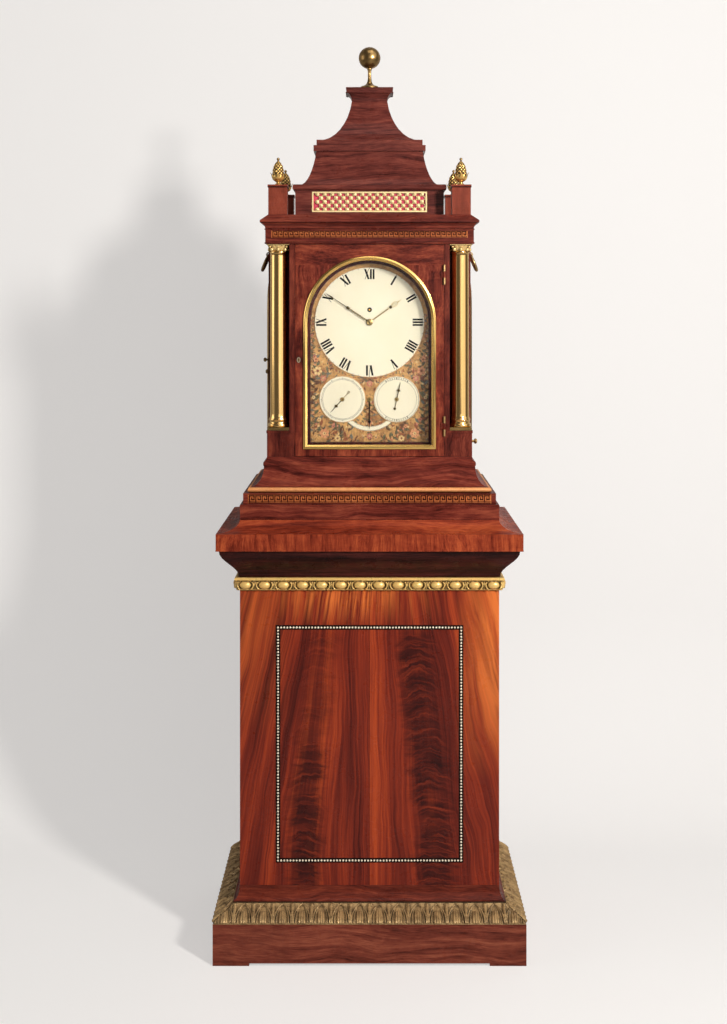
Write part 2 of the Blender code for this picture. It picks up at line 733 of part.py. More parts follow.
def egg(bm, centre, along, out):
    """A low ellipsoid whose long axis lies along the moulding."""
    made = bmesh.ops.create_uvsphere(bm, u_segments=EGG_AROUND, v_segments=EGG_RINGS, radius=1.0)
    shape = Matrix.Diagonal((EGG_LENGTH / 2, EGG_PROUD, EGG_HEIGHT / 2, 1.0))
    turn = Matrix((( *along, 0.0), (*out, 0.0), (0.0, 0.0, 1.0, 0.0), (0.0, 0.0, 0.0, 1.0))).transposed()
    bmesh.ops.transform(bm, matrix=Matrix.Translation(centre) @ turn @ shape, verts=made["verts"])


def make_egg_moulding():
    backing = DIE_OUT + EGG_BACKING_REACH
    band = moulded_block("pedestal_egg_moulding",
                         [(DIE_OUT, DIE_TOP + SEAT_GAP), (backing, DIE_TOP + SEAT_GAP + EGG_BACKING_REACH),
                          (backing, EGG_BAND_TOP)], "gilt_wood")
    half = CASE_HALF + backing
    front = CASE_FRONT - backing
    level = (DIE_TOP + SEAT_GAP + EGG_BAND_TOP) / 2
    bm = bmesh.new()
    across = max(1, round(2 * half / EGG_PITCH))
    for index in range(across):
        x = mixed(-half, half, (index + 0.5) / across)
        egg(bm, (x, front, level), (1.0, 0.0, 0.0), (0.0, 1.0, 0.0))
    deep = max(1, round((BACK_PLANE - front) / EGG_PITCH))
    for index in range(deep):
        y = mixed(front, BACK_PLANE, (index + 0.5) / deep)
        for side in (-1, 1):
            egg(bm, (side * half, y, level), (0.0, 1.0, 0.0), (side, 0.0, 0.0))
    eggs = finish("egg_row", bm, "gilt_wood", cutter=True)
    boolean(band, eggs, "UNION")


# Clock base and case

def make_clock_base():
    block_top = PEDESTAL_TOP + BASE_BLOCK_HEIGHT
    profile = [(DIE_OUT, PEDESTAL_TOP + SEAT_GAP), (DIE_OUT, block_top), (KEY_BAND_OUT, block_top),
               (KEY_BAND_OUT, KEY_BAND_TOP), (CAVETTO_FOOT, KEY_BAND_TOP), (CAVETTO_FOOT, STRIP_TOP)]
    profile += curve_between((CAVETTO_FOOT, STRIP_TOP), (CAVETTO_TOP, CAVETTO_LEVEL), "cove")[1:]
    bead_top = mixed(CAVETTO_LEVEL, BASE_TOP, 0.5)
    profile += half_round(CAVETTO_TOP, CAVETTO_LEVEL, bead_top, TORUS_REACH - CAVETTO_TOP_REACH, 4)[1:]
    profile += curve_between((CAVETTO_TOP, bead_top), (0.0, BASE_TOP), "cove", 3)[1:]
    moulded_block("clock_base", profile, "mahogany")
    low = KEY_BAND_TOP + SEAT_GAP
    high = STRIP_TOP - SEAT_GAP
    inner = CAVETTO_FOOT + SEAT_GAP
    section = [(inner, low)] + half_round(inner + STRIP_REACH / 3, low, high, STRIP_REACH * 2 / 3)
    section.append((inner, high))
    moulded_strip("base_gilt_strip", section, "brass")


def make_corner_posts():
    """Each post shows a narrow stile by the door, turns back round the column's recess, and
    carries the block that the column stands on."""
    inner = CASE_HALF - RECESS - POST_STILE
    outer = CASE_HALF - RECESS
    for side, word in SIDES:
        outline = [(inner, CASE_FRONT), (outer, CASE_FRONT), (outer, RECESS_BACK),
                   (CASE_HALF, RECESS_BACK), (CASE_HALF, POST_BACK), (inner, POST_BACK)]
        bm = bmesh.new()
        prism(bm, [(side * x, y) for x, y in outline], CASE_FLOOR, CASE_CEILING)
        post = finish("corner_post_" + word, bm, "mahogany")
        loops = []
        for reach, height in ((0.0, CASE_FLOOR), (0.0, BLOCK_TOP), (BLOCK_CAP_REACH, BLOCK_TOP),
                              (BLOCK_CAP_REACH, BLOCK_CAP_TOP)):
            left, right = sorted((side * (outer - POST_STILE / 2), side * (CASE_HALF + reach)))
            square = box_outline(left, right, CASE_FRONT - reach, RECESS_BACK + BOARD_THICKNESS / 2)
            loops.append([(x, y, height) for x, y in square])
        bm = bmesh.new()
        skin(bm, loops)
        boolean(post, finish("column_block_" + word, bm, "mahogany", cutter=True), "UNION")


def square_loop(half, height, count):
    points = []
    for step in range(count):
        angle = math.tau * (step + 0.5 * (count % 8 != 0)) / count
        stretch = half / max(abs(math.cos(angle)), abs(math.sin(angle)))
        points.append((stretch * math.cos(angle), stretch * math.sin(angle), height))
    return points


def round_loop(radius, height, count, lobes=0, lobe_share=0.0):
    points = []
    for step in range(count):
        angle = math.tau * step / count
        reach = radius * (1 + lobe_share * math.cos(lobes * angle))
        points.append((reach * math.cos(angle), reach * math.sin(angle), height))
    return points


def column_axis(side):
    half = COLUMN_BASE_SQUARE / 2
    return (side * (CASE_HALF - half), CASE_FRONT + half)


def make_columns():
    """Brass columns: square foot, turned base rings, plain shaft, and a leafy bell under a
    square abacus."""
    count = COLUMN_STEPS
    half = COLUMN_BASE_SQUARE / 2 - SEAT_GAP
    plate = COLUMN_FOOT + COLUMN_PLATE_HEIGHT
    ring_height = COLUMN_BASE_HEIGHT - COLUMN_PLATE_HEIGHT
    ring_shares = ((0.98, 0.0), (1.0, 0.15), (0.98, 0.30), (0.80, 0.40), (0.80, 0.60), (0.92, 0.68),
                   (0.92, 0.86))
    bell_shares = ((1.00, 0.0, 0.0), (1.10, 0.07, 0.0), (1.02, 0.14, 0.0), (1.12, 0.42, 0.08),
                   (1.18, 0.62, 0.05), (1.06, 0.74, 0.0))
    for side, word in SIDES:
        loops = [square_loop(half, COLUMN_FOOT, count), square_loop(half, plate, count)]
        for radius_share, height_share in ring_shares:
            loops.append(round_loop(half * radius_share, plate + ring_height * height_share, count))
        loops.append(round_loop(COLUMN_RADIUS, plate + ring_height, count))
        for radius_share, height_share, lobe_share in bell_shares:
            height = CAPITAL_FOOT + CAPITAL_HEIGHT * height_share
            loops.append(round_loop(COLUMN_RADIUS * radius_share, height, count, CAPITAL_LOBES, lobe_share))
        loops.append(square_loop(half, CAPITAL_FOOT + CAPITAL_HEIGHT * bell_shares[-1][1], count))
        loops.append(square_loop(half, CASE_CEILING, count))
        bm = bmesh.new()
        skin(bm, loops)
        finish("column_" + word, bm, "brass", upright(*column_axis(side), 0.0), smooth=True)


def make_case_sides():
    """Side boards with a round-headed opening behind each fret, and the hole of one fitting:
    the lever's pin at the left, the knob's stem at the right."""
    opening = arch_outline(SIDE_FRET_WIDTH / 2 - SIDE_FRET_RAIL, SIDE_FRET_LOW + SIDE_FRET_RAIL,
                           SIDE_FRET_SPRINGING)
    fittings = {"left": (LEVER_PIN_RADIUS, BASE_TOP + LEVER_HEIGHT),
                "right": (KNOB_STEM_RADIUS, BASE_TOP + KNOB_HEIGHT)}
    for side, word in SIDES:
        radius, level = fittings[word]
        holes = [[(side * SIDE_MIDDLE + along, up) for along, up in opening],
                 circle(radius + BORE_CLEARANCE, SMALL_STEPS, (side * FITTING_Y, level))]
        outline = box_outline(*sorted((side * SIDE_START, side * SIDE_END)), CASE_FLOOR, CASE_CEILING)
        bm = bmesh.new()
        pierced_plate(bm, outline, holes, 0.0, BOARD_THICKNESS)
        finish("case_side_" + word, bm, "mahogany", side_frame(side, SIDE_INNER))


def fret_cells(half, low, springing):
    """Openings of a barred fret under a round head."""
    pitch = (2 * half + SIDE_FRET_BAR) / (SIDE_FRET_BARS + 1)
    row_pitch = (springing - low + SIDE_FRET_BAR) / SIDE_FRET_ROWS
    reach = math.sqrt(half ** 2 - SIDE_FRET_BAR ** 2)
    head_low = springing + SIDE_FRET_BAR
    cells = []
    for column in range(SIDE_FRET_BARS + 1):
        left = -half + column * pitch
        right = left + pitch - SIDE_FRET_BAR
        for row in range(SIDE_FRET_ROWS):
            foot = low + row * row_pitch
            cells.append(box_outline(left, right, foot, foot + row_pitch - SIDE_FRET_BAR))
        start = max(left, -reach)
        end = min(right, reach)
        head = [(start, head_low), (end, head_low)]
        for share in (1.0, 0.5, 0.0):
            x = mixed(start, end, share)
            height = springing + math.sqrt(half ** 2 - x ** 2)
            if height > head_low + SEAT_GAP:
                head.append((x, height))
        cells.append(head)
    return cells


def make_side_frets():
    """Barred brass frets with a raised round-headed moulding, on the outer face of each side."""
    half = SIDE_FRET_WIDTH / 2
    inner = half - SIDE_FRET_RAIL
    low = SIDE_FRET_LOW + SIDE_FRET_RAIL
    plate = SIDE_FRET_PROUD / 3
    section_shares = ((0.05, 0.0), (0.05, 0.55), (0.35, 1.0), (0.75, 0.9), (0.95, 0.0))
    for side, word in SIDES:
        frame = side_frame(side, CASE_HALF + SEAT_GAP) @ Matrix.Translation((side * SIDE_MIDDLE, 0.0, 0.0))
        bm = bmesh.new()
        pierced_plate(bm, arch_outline(half, SIDE_FRET_LOW, SIDE_FRET_SPRINGING),
                      fret_cells(inner, low, SIDE_FRET_SPRINGING), 0.0, plate)
        fret = finish("side_fret_" + word, bm, "brass", frame)
        loops = []
        for inset_share, height_share in section_shares:
            inset = SIDE_FRET_RAIL * inset_share
            outline = arch_outline(half - inset, SIDE_FRET_LOW + inset, SIDE_FRET_SPRINGING)
            height = mixed(plate / 2, SIDE_FRET_PROUD, height_share)
            loops.append([(x, y, height) for x, y in outline])
        bm = bmesh.new()
        skin(bm, loops, closed=True)
        boolean(fret, finish("fret_moulding_" + word, bm, "brass", frame, cutter=True), "UNION")


def make_back_frame():
    half = SIDE_INNER - SEAT_GAP
    outline = box_outline(-half, half, CASE_FLOOR, CASE_CEILING)
    bm = bmesh.new()
    pierced_plate(bm, outline, [box_outline(-BACK_OPENING_HALF, BACK_OPENING_HALF,
                                            BACK_OPENING_LOW, BACK_OPENING_HIGH)], 0.0, BOARD_THICKNESS)
    frame = finish("case_back_frame", bm, "mahogany", facing_front(0.0, BACK_FACE, 0.0))
    places = hinge_places()[1]
    inside = BACK_FACE - BOARD_THICKNESS / 4
    leaves = bmesh.new()
    pins = bmesh.new()
    for x, y, low in places:
        for start in (0.0, HINGE_LENGTH * 2 / 3):
            add_box(leaves, (x, x + HINGE_LEAF_WIDTH), (inside, y),
                    (low + start + SEAT_GAP, low + start + HINGE_LENGTH / 3 - SEAT_GAP))
        add_turned(pins, hinge_pin_profile(), upright(x, y, low))
    boolean(frame, finish("back_frame_leaves", leaves, "brass", cutter=True), "UNION")
    boolean(frame, finish("back_frame_pins", pins, "brass", cutter=True), "UNION")


# Entablature and roof ornaments

def make_entablature():
    """Frieze and cornice, with the four blocks that carry the finials."""
    frieze_top = CASE_TOP + FRIEZE_HEIGHT
    cove_top = frieze_top + CORNICE_COVE_HEIGHT
    nosing = FRIEZE_REACH + CORNICE_REACH
    profile = [(FRIEZE_REACH, CASE_TOP)]
    profile += curve_between((FRIEZE_REACH, frieze_top), (nosing, cove_top), "flare")
    profile += [(nosing, cove_top + NOSING_HEIGHT), (-ROOF_INSET, ROOF_TOP)]
    entablature = moulded_block("entablature", profile, "mahogany")
    half = FINIAL_BLOCK_WIDTH / 2
    cap_low = FINIAL_BLOCK_TOP - FINIAL_CAP_HEIGHT
    rows = ((half, ROOF_TOP - FINIAL_CAP_HEIGHT), (half, cap_low), (half + FINIAL_CAP_REACH, cap_low),
            (half + FINIAL_CAP_REACH, FINIAL_BLOCK_TOP))
    bm = bmesh.new()
    for x, y in finial_places():
        skin(bm, [[(x + u, y + v, height) for u, v in box_outline(-reach, reach, -reach, reach)]
                  for reach, height in rows])
    boolean(entablature, finish("finial_blocks", bm, "mahogany", cutter=True), "UNION")


def finial_places():
    half = FINIAL_BLOCK_WIDTH / 2
    x = CASE_HALF - ROOF_INSET - half
    front = CASE_FRONT + ROOF_INSET + half
    back = BACK_PLANE - ROOF_INSET - half
    return [(-x, front), (x, front), (-x, back), (x, back)]


def make_pineapples():
    """Cast finials: turned foot, scaly cone and a small knob."""
    shares = ((0.70, 0.0, 0.0), (0.72, 0.05, 0.0), (0.36, 0.13, 0.0), (0.86, 0.24, 0.05), (1.0, 0.38, 0.07),
              (0.95, 0.58, 0.07), (0.68, 0.77, 0.05), (0.20, 0.88, 0.0), (0.24, 0.94, 0.0), (0.12, 1.0, 0.0))
    names = ("finial_front_left", "finial_front_right", "finial_back_left", "finial_back_right")
    for name, (x, y) in zip(names, finial_places()):
        bm = bmesh.new()
        skin(bm, [round_loop(PINEAPPLE_RADIUS * radius_share, PINEAPPLE_HEIGHT * height_share,
                             2 * PINEAPPLE_LOBES, PINEAPPLE_LOBES, lobe_share)
                  for radius_share, height_share, lobe_share in shares])
        finish(name, bm, "brass", upright(x, y, FINIAL_BLOCK_TOP + SEAT_GAP), smooth=True)


# Pagoda top

def eased(start, end, ease_share, steps=8):
    """A hollow sweep between (share, height) points, part way from a round cove to a straight line."""
    round_points = curve_between(start, end, "cove", steps)
    points = []
    for share, height in round_points:
        straight = mixed(start[0], end[0], (height - start[1]) / (end[1] - start[1]))
        points.append((mixed(share, straight, ease_share), height))
    return points


def pagoda_piece(name, profile):
    bm = bmesh.new()
    four_sided(bm, PAGODA_WIDTH / 2, PAGODA_DEPTH / 2, PAGODA_Y, profile)
    return finish(name, bm, "mahogany")


def make_pagoda():
    frieze = pagoda_piece("pagoda_frieze", [(1.0, ROOF_TOP + SEAT_GAP), (1.0, PAGODA_FRIEZE_TOP)])
    recess = FRET_THICKNESS + SILK_THICKNESS + SEAT_GAP
    bm = bmesh.new()
    half = FRET_WIDTH / 2 + SEAT_GAP
    add_box(bm, (-half, half), (PAGODA_FRONT - CUT_OVERRUN, PAGODA_FRONT + recess),
            (FRET_LOW - SEAT_GAP, FRET_LOW + FRET_HEIGHT + SEAT_GAP))
    boolean(frieze, finish("fret_recess", bm, "mahogany", cutter=True), "DIFFERENCE")
    band_share = 1.0 + 2 * PAGODA_BAND_REACH / PAGODA_WIDTH
    band_top = PAGODA_FRIEZE_TOP + PAGODA_BAND_HEIGHT
    lower_top = band_top + LOWER_STAGE_HEIGHT
    lower = [(band_share, PAGODA_FRIEZE_TOP + SEAT_GAP), (band_share, band_top)]
    lower += eased((LOWER_STAGE_FOOT_SHARE, band_top), (LOWER_STAGE_NECK_SHARE, lower_top),
                   LOWER_STAGE_EASE_SHARE)
    pagoda_piece("pagoda_lower_stage", lower)
    upper_band_top = lower_top + UPPER_BAND_HEIGHT
    step_top = upper_band_top + UPPER_STEP_HEIGHT
    neck_level = step_top + UPPER_STAGE_HEIGHT
    corbel_top = neck_level + CORBEL_HEIGHT
    step_share = (UPPER_BAND_SHARE + UPPER_STAGE_FOOT_SHARE) / 2
    upper = [(UPPER_BAND_SHARE, lower_top + SEAT_GAP), (UPPER_BAND_SHARE, upper_band_top),
             (step_share, upper_band_top), (step_share, step_top)]
    upper += eased((UPPER_STAGE_FOOT_SHARE, step_top), (UPPER_STAGE_NECK_SHARE, neck_level),
                   UPPER_STAGE_EASE_SHARE)
    upper += curve_between((UPPER_STAGE_NECK_SHARE, neck_level), (CAP_SHARE, corbel_top), "flare", 4)[1:]
    upper.append((CAP_SHARE, corbel_top + CAP_HEIGHT))
    pagoda_piece("pagoda_upper_stage", upper)
    return corbel_top + CAP_HEIGHT


def make_fret_and_silk():
    half = FRET_WIDTH / 2
    back = PAGODA_FRONT + FRET_THICKNESS + SILK_THICKNESS
    bm = bmesh.new()
    add_box(bm, (-half, half), (back - SILK_THICKNESS + SEAT_GAP, back), (FRET_LOW, FRET_LOW + FRET_HEIGHT))
    finish("pagoda_silk", bm, "silk")
    inner = half - FRET_RIM
    low = FRET_LOW + FRET_RIM
    pitch = (2 * inner + FRET_BAR) / FRET_COLUMNS
    row_pitch = (FRET_HEIGHT - 2 * FRET_RIM + FRET_BAR) / FRET_ROWS
    cells = []
    for row in range(FRET_ROWS):
        offset = pitch / 2 if row % 2 else 0.0
        foot = low + row * row_pitch
        for column in range(-1, FRET_COLUMNS):
            left = max(-inner, -inner + column * pitch + offset)
            right = min(inner, -inner + column * pitch + offset + pitch - FRET_BAR)
            if right - left > FRET_BAR:
                cells.append(box_outline(left, right, foot, foot + row_pitch - FRET_BAR))
    outline = box_outline(-half, half, FRET_LOW, FRET_LOW + FRET_HEIGHT)
    bm = bmesh.new()
    pierced_plate(bm, outline, cells, 0.0, FRET_THICKNESS)
    finish("pagoda_fret", bm, "brass", facing_front(0.0, back - SILK_THICKNESS, 0.0))


def make_ball_finial(foot):
    """Turned foot and neck, with the ball's outline as an arc."""
    start = foot + SEAT_GAP
    stem_shares = ((1.0, 0.0), (1.0, 0.10), (0.78, 0.15), (0.46, 0.22), (0.28, 0.33))
    profile = [(0.0, start)]
    profile += [(BALL_FOOT_RADIUS * radius, start + BALL_STEM_HEIGHT * rise) for radius, rise in stem_shares]
    profile.append((BALL_NECK_RADIUS, start + BALL_STEM_HEIGHT * 0.5))
    centre = start + BALL_STEM_HEIGHT + BALL_RADIUS
    first = math.asin(BALL_NECK_RADIUS / BALL_RADIUS)
    for step in range(BALL_STEPS):
        turn = mixed(first, math.pi, step / BALL_STEPS)
        profile.append((BALL_RADIUS * math.sin(turn), centre - BALL_RADIUS * math.cos(turn)))
    profile.append((0.0, centre + BALL_RADIUS))
    bm = bmesh.new()
    turned(bm, profile)
    finish("ball_finial", bm, "brass", upright(0.0, PAGODA_Y, 0.0), smooth=True)


# Front door

def make_door():
    low = CASE_FLOOR + DOOR_GAP
    high = CASE_CEILING - DOOR_GAP
    opening_half = BEZEL_HALF_WIDTH - BEZEL_LAP
    opening_low = BEZEL_LOW + BEZEL_LAP
    bm = bmesh.new()
    pierced_plate(bm, box_outline(-DOOR_HALF, DOOR_HALF, low, high),
                  [arch_outline(opening_half, opening_low, DIAL_LEVEL)], 0.0, DOOR_THICKNESS)
    door = finish("door_frame", bm, "mahogany", facing_front(0.0, DOOR_BACK, 0.0))
    section_shares = ((0.0, 0.0), (0.0, 0.45), (0.25, 0.9), (0.5, 1.0), (0.8, 0.8), (1.0, 0.3), (1.0, 0.0))
    loops = []
    for inset_share, height_share in section_shares:
        inset = BEZEL_WIDTH * inset_share
        outline = arch_outline(BEZEL_HALF_WIDTH - inset, BEZEL_LOW + inset, DIAL_LEVEL)
        loops.append([(x, y, SEAT_GAP + BEZEL_PROUD * height_share) for x, y in outline])
    bm = bmesh.new()
    skin(bm, loops, closed=True)
    finish("door_bezel", bm, "brass", facing_front(0.0, CASE_FRONT, 0.0), smooth=True)
    bm = bmesh.new()
    outline = arch_outline(opening_half - SEAT_GAP, opening_low + SEAT_GAP, DIAL_LEVEL)
    prism(bm, outline, -GLASS_DEPTH - GLASS_THICKNESS, -GLASS_DEPTH)
    finish("door_glass", bm, "glass", facing_front(0.0, CASE_FRONT, 0.0))
    add_knuckles(door, hinge_places()[0], CASE_FRONT + DOOR_THICKNESS / 4)


def hinge_places():
    """Axis and the lower end of each hinge: two on the front door, two on the back door."""
    front_low = CASE_FLOOR + HINGE_INSET
    front_high = CASE_CEILING - HINGE_INSET - HINGE_LENGTH
    back_low = BACK_OPENING_LOW + HINGE_INSET
    back_high = BACK_OPENING_HIGH - HINGE_INSET - HINGE_LENGTH
    front = [(*FRONT_AXIS, low) for low in (front_low, front_high)]
    back = [(*BACK_AXIS, low) for low in (back_low, back_high)]
    return front, back


def hinge_pin_profile():
    """Two end knuckles on one pin, from the bottom up."""
    third = HINGE_LENGTH / 3
    return [(0.0, 0.0), (HINGE_RADIUS, 0.0), (HINGE_RADIUS, third), (HINGE_PIN_RADIUS, third),
            (HINGE_PIN_RADIUS, 2 * third), (HINGE_RADIUS, 2 * third), (HINGE_RADIUS, HINGE_LENGTH),
            (0.0, HINGE_LENGTH)]


def add_knuckles(leaf, places, inside):
    """The middle knuckle of each hinge: a leaf let into the door, a barrel, and the pin's bore."""
    low = HINGE_LENGTH / 3 + SEAT_GAP
    high = HINGE_LENGTH * 2 / 3 - SEAT_GAP
    name = leaf.name
    leaves = bmesh.new()
    barrels = bmesh.new()
    bores = bmesh.new()
    for x, y, foot in places:
        y_range = sorted((y, inside))
        add_box(leaves, (x - HINGE_LEAF_WIDTH, x), y_range, (foot + low, foot + high))
        for bm, radius, start, end in ((barrels, HINGE_RADIUS, low, high),
                                       (bores, HINGE_PIN_RADIUS + BORE_CLEARANCE, 0.0, HINGE_LENGTH)):
            profile = [(0.0, start), (radius, start), (radius, end), (0.0, end)]
            add_turned(bm, profile, upright(x, y, foot))
    boolean(leaf, finish(name + "_leaves", leaves, "brass", cutter=True), "UNION")
    boolean(leaf, finish(name + "_barrels", barrels, "brass", cutter=True), "UNION")
    boolean(leaf, finish(name + "_bores", bores, "brass", cutter=True), "DIFFERENCE")


def make_front_hinges():
    for word, place in zip(("lower", "upper"), hinge_places()[0]):
        bm = bmesh.new()
        turned(bm, hinge_pin_profile(), SMALL_STEPS)
        finish("front_hinge_" + word, bm, "brass", upright(*place))


def make_back_door():
    half = BACK_OPENING_HALF - DOOR_GAP
    outline = box_outline(-half, half, BACK_OPENING_LOW + DOOR_GAP, BACK_OPENING_HIGH - DOOR_GAP)
    bm = bmesh.new()
    prism(bm, outline, 0.0, BOARD_THICKNESS)
    door = finish("back_door", bm, "mahogany", facing_front(0.0, BACK_FACE, 0.0))
    add_knuckles(door, hinge_places()[1], BACK_FACE - BOARD_THICKNESS / 4)


# Dial and hands

def dial_holes():
    pipe = circle(PIPE_RADIUS + BORE_CLEARANCE, SMALL_STEPS, (0.0, DIAL_LEVEL))
    winding = circle(WINDING_HOLE_RADIUS, SMALL_STEPS, (0.0, DIAL_LEVEL + WINDING_RISE))
    small = []
    for x in (-SUB_DIAL_SPREAD / 2, 0.0, SUB_DIAL_SPREAD / 2):
        small.append(circle(ARBOR_RADIUS + BORE_CLEARANCE, SMALL_STEPS, (x, SUB_DIAL_LEVEL)))
    return [pipe, winding], small


def make_dial():
    main_holes, small_holes = dial_holes()
    half = DOOR_HALF + DOOR_GAP - SEAT_GAP
    foot = BASE_TOP + MASK_FOOT
    bm = bmesh.new()
    pierced_plate(bm, box_outline(-half, half, CASE_FLOOR, CASE_CEILING),
                  [arch_outline(MASK_HALF_OPENING, foot, DIAL_LEVEL)], 0.0, MASK_THICKNESS)
    finish("dial_mask", bm, "dark_mahogany", facing_front(0.0, MASK_BACK, 0.0))
    bm = bmesh.new()
    outline = arch_outline(MASK_HALF_OPENING + DIAL_PLATE_LAP, foot - DIAL_PLATE_LAP, DIAL_LEVEL)
    pierced_plate(bm, outline, main_holes + small_holes, 0.0, DIAL_PLATE_THICKNESS)
    finish("dial_plate", bm, "painted_metal", facing_front(0.0, PLATE_BACK, 0.0))
    bm = bmesh.new()
    disc = circle(MAIN_DIAL_RADIUS, DIAL_STEPS, (0.0, DIAL_LEVEL))
    pierced_plate(bm, disc, main_holes, 0.0, MAIN_DIAL_THICKNESS)
    finish("main_dial", bm, "enamel", facing_front(0.0, PLATE_FRONT - SEAT_GAP, 0.0))
    for side, word in SIDES:
        x = side * SUB_DIAL_SPREAD / 2
        bm = bmesh.new()
        pierced_plate(bm, circle(SUB_DIAL_RADIUS, DIAL_STEPS // 2, (x, SUB_DIAL_LEVEL)),
                      [small_holes[1 + side]], 0.0, SUB_DIAL_THICKNESS)
        finish("sub_dial_" + word, bm, "enamel", facing_front(0.0, PLATE_FRONT - SEAT_GAP, 0.0))


def hand(name, hub, spokes, place, arbor_radius, arbor_end, bore_radius=0.0):
    """A flat hand with a round arbor or a bored pipe running back from it to arbor_end."""
    frame = facing_front(*place)
    bm = bmesh.new()
    prism(bm, spoked_outline(hub, spokes), 0.0, HAND_THICKNESS)
    made = finish(name, bm, "blued_steel", frame)
    low = place[1] - arbor_end
    turnings = [("_arbor", arbor_radius, low, HAND_THICKNESS * 1.5, "UNION")]
    if bore_radius:
        turnings.append(("_bore", bore_radius, low - CUT_OVERRUN, CUT_OVERRUN, "DIFFERENCE"))
    for word, radius, start, end, operation in turnings:
        bm = bmesh.new()
        turned(bm, [(0.0, start), (radius, start), (radius, end), (0.0, end)], SMALL_STEPS)
        boolean(made, finish(name + word, bm, "blued_steel", frame, cutter=True), operation)
    return made


def blade(reach, shares, widest):
    return [(reach * distance, widest * half) for distance, half in shares]


def make_hands():
    hour_back = MAIN_DIAL_FRONT - HAND_SPACING
    minute_back = hour_back - HAND_THICKNESS - HAND_SPACING
    small_back = SUB_DIAL_FRONT - HAND_SPACING
    through = MOVEMENT_FRONT + MOVEMENT_PLATE
    bore = ARBOR_RADIUS + BORE_CLEARANCE
    root = HAND_HUB_RADIUS / 4
    hour_shares = ((0.0, 1.0), (0.62, 0.7), (0.68, 1.7), (0.75, 2.6), (0.82, 2.0), (0.87, 0.7), (1.0, 0.0))
    minute_shares = ((0.0, 0.9), (0.46, 0.6), (0.50, 1.5), (0.54, 0.6), (0.90, 0.45), (1.0, 0.0))
    small_shares = ((0.0, 1.0), (0.40, 0.8), (0.52, 2.6), (0.64, 0.8), (1.0, 0.0))
    tail_shares = ((0.0, 1.0), (0.45, 0.8), (0.72, 2.6), (1.0, 0.0))
    hand("hour_hand", HAND_HUB_RADIUS, [(clock_angle(HOUR_ANGLE), blade(HOUR_HAND_REACH, hour_shares, root))],
         (0.0, hour_back, DIAL_LEVEL), PIPE_RADIUS, MOVEMENT_FRONT - SEAT_GAP, bore)
    hand("minute_hand", HAND_HUB_RADIUS * 0.9,
         [(clock_angle(MINUTE_ANGLE), blade(MINUTE_HAND_REACH, minute_shares, root))],
         (0.0, minute_back, DIAL_LEVEL), ARBOR_RADIUS, through)
    small_root = SMALL_HUB_RADIUS / 4
    for name, angle, x in (("regulation_hand", LEFT_HAND_ANGLE, -SUB_DIAL_SPREAD / 2),
                           ("chime_hand", RIGHT_HAND_ANGLE, SUB_DIAL_SPREAD / 2)):
        spokes = [(clock_angle(angle), blade(SMALL_HAND_REACH, small_shares, small_root)),
                  (clock_angle(angle + 180.0), blade(SMALL_HAND_TAIL, tail_shares, small_root))]
        hand(name, SMALL_HUB_RADIUS, spokes, (x, small_back, SUB_DIAL_LEVEL), ARBOR_RADIUS, through)
    spokes = [(clock_angle(180.0), blade(TUNE_HAND_REACH, small_shares, small_root))]
    hand("tune_hand", SMALL_HUB_RADIUS, spokes, (0.0, small_back, SUB_DIAL_LEVEL), ARBOR_RADIUS, through)


# Fittings on the case sides

def add_turned(bm, profile, frame, steps=SMALL_STEPS):
    before = set(bm.verts)
    turned(bm, profile, steps)
    move_new(bm, before, frame)


def make_handle_bosses():
    """Round plates, each with a bored lug that a ring handle hangs in."""
    level = BASE_TOP + HANDLE_HEIGHT
    thick = HANDLE_BOSS_THICKNESS
    plate = [(0.0, 0.0), (HANDLE_BOSS_RADIUS, 0.0), (HANDLE_BOSS_RADIUS, thick / 2),
             (HANDLE_BOSS_RADIUS - thick / 2, thick), (0.0, thick)]
    across = Matrix.Rotation(math.radians(90.0), 4, "X")
    for side, word in SIDES:
        bm = bmesh.new()
        turned(bm, plate)
        place = side_frame(side, CASE_HALF + SEAT_GAP) @ upright(side * SIDE_MIDDLE, level, 0.0)
        boss = finish("handle_boss_" + word, bm, "brass", place, smooth=True)
        centre = upright(side * HANDLE_AXIS, SIDE_MIDDLE, level) @ across
        for name, radius, width, operation in (("lug_", HANDLE_LUG_RADIUS, HANDLE_LUG_WIDTH / 2, "UNION"),
                                               ("bore_", HANDLE_BORE_RADIUS, HANDLE_LUG_WIDTH, "DIFFERENCE")):
            bm = bmesh.new()
            turned(bm, [(0.0, -width), (radius, -width), (radius, width), (0.0, width)], SMALL_STEPS)
            boolean(boss, finish("handle_" + name + word, bm, "brass", centre, cutter=True), operation)


def make_handles():
    """Rings that hang in the bosses, each with its origin on its pivot."""
    section = []
    for x, y in circle(HANDLE_SECTION_RADIUS, SMALL_STEPS):
        section.append((HANDLE_RING_RADIUS + x, y))
    for side, word in SIDES:
        bm = bmesh.new()
        turned_tube(bm, section)
        bmesh.ops.translate(bm, verts=bm.verts, vec=(0.0, -HANDLE_RING_RADIUS, 0.0))
        place = (side * HANDLE_AXIS, SIDE_MIDDLE, BASE_TOP + HANDLE_HEIGHT)
        lean = Matrix.Rotation(math.radians(-side * HANDLE_LEAN), 4, "Y")
        finish("handle_" + word, bm, "brass", upright(*place) @ lean @ side_frame(side, 0.0), smooth=True)


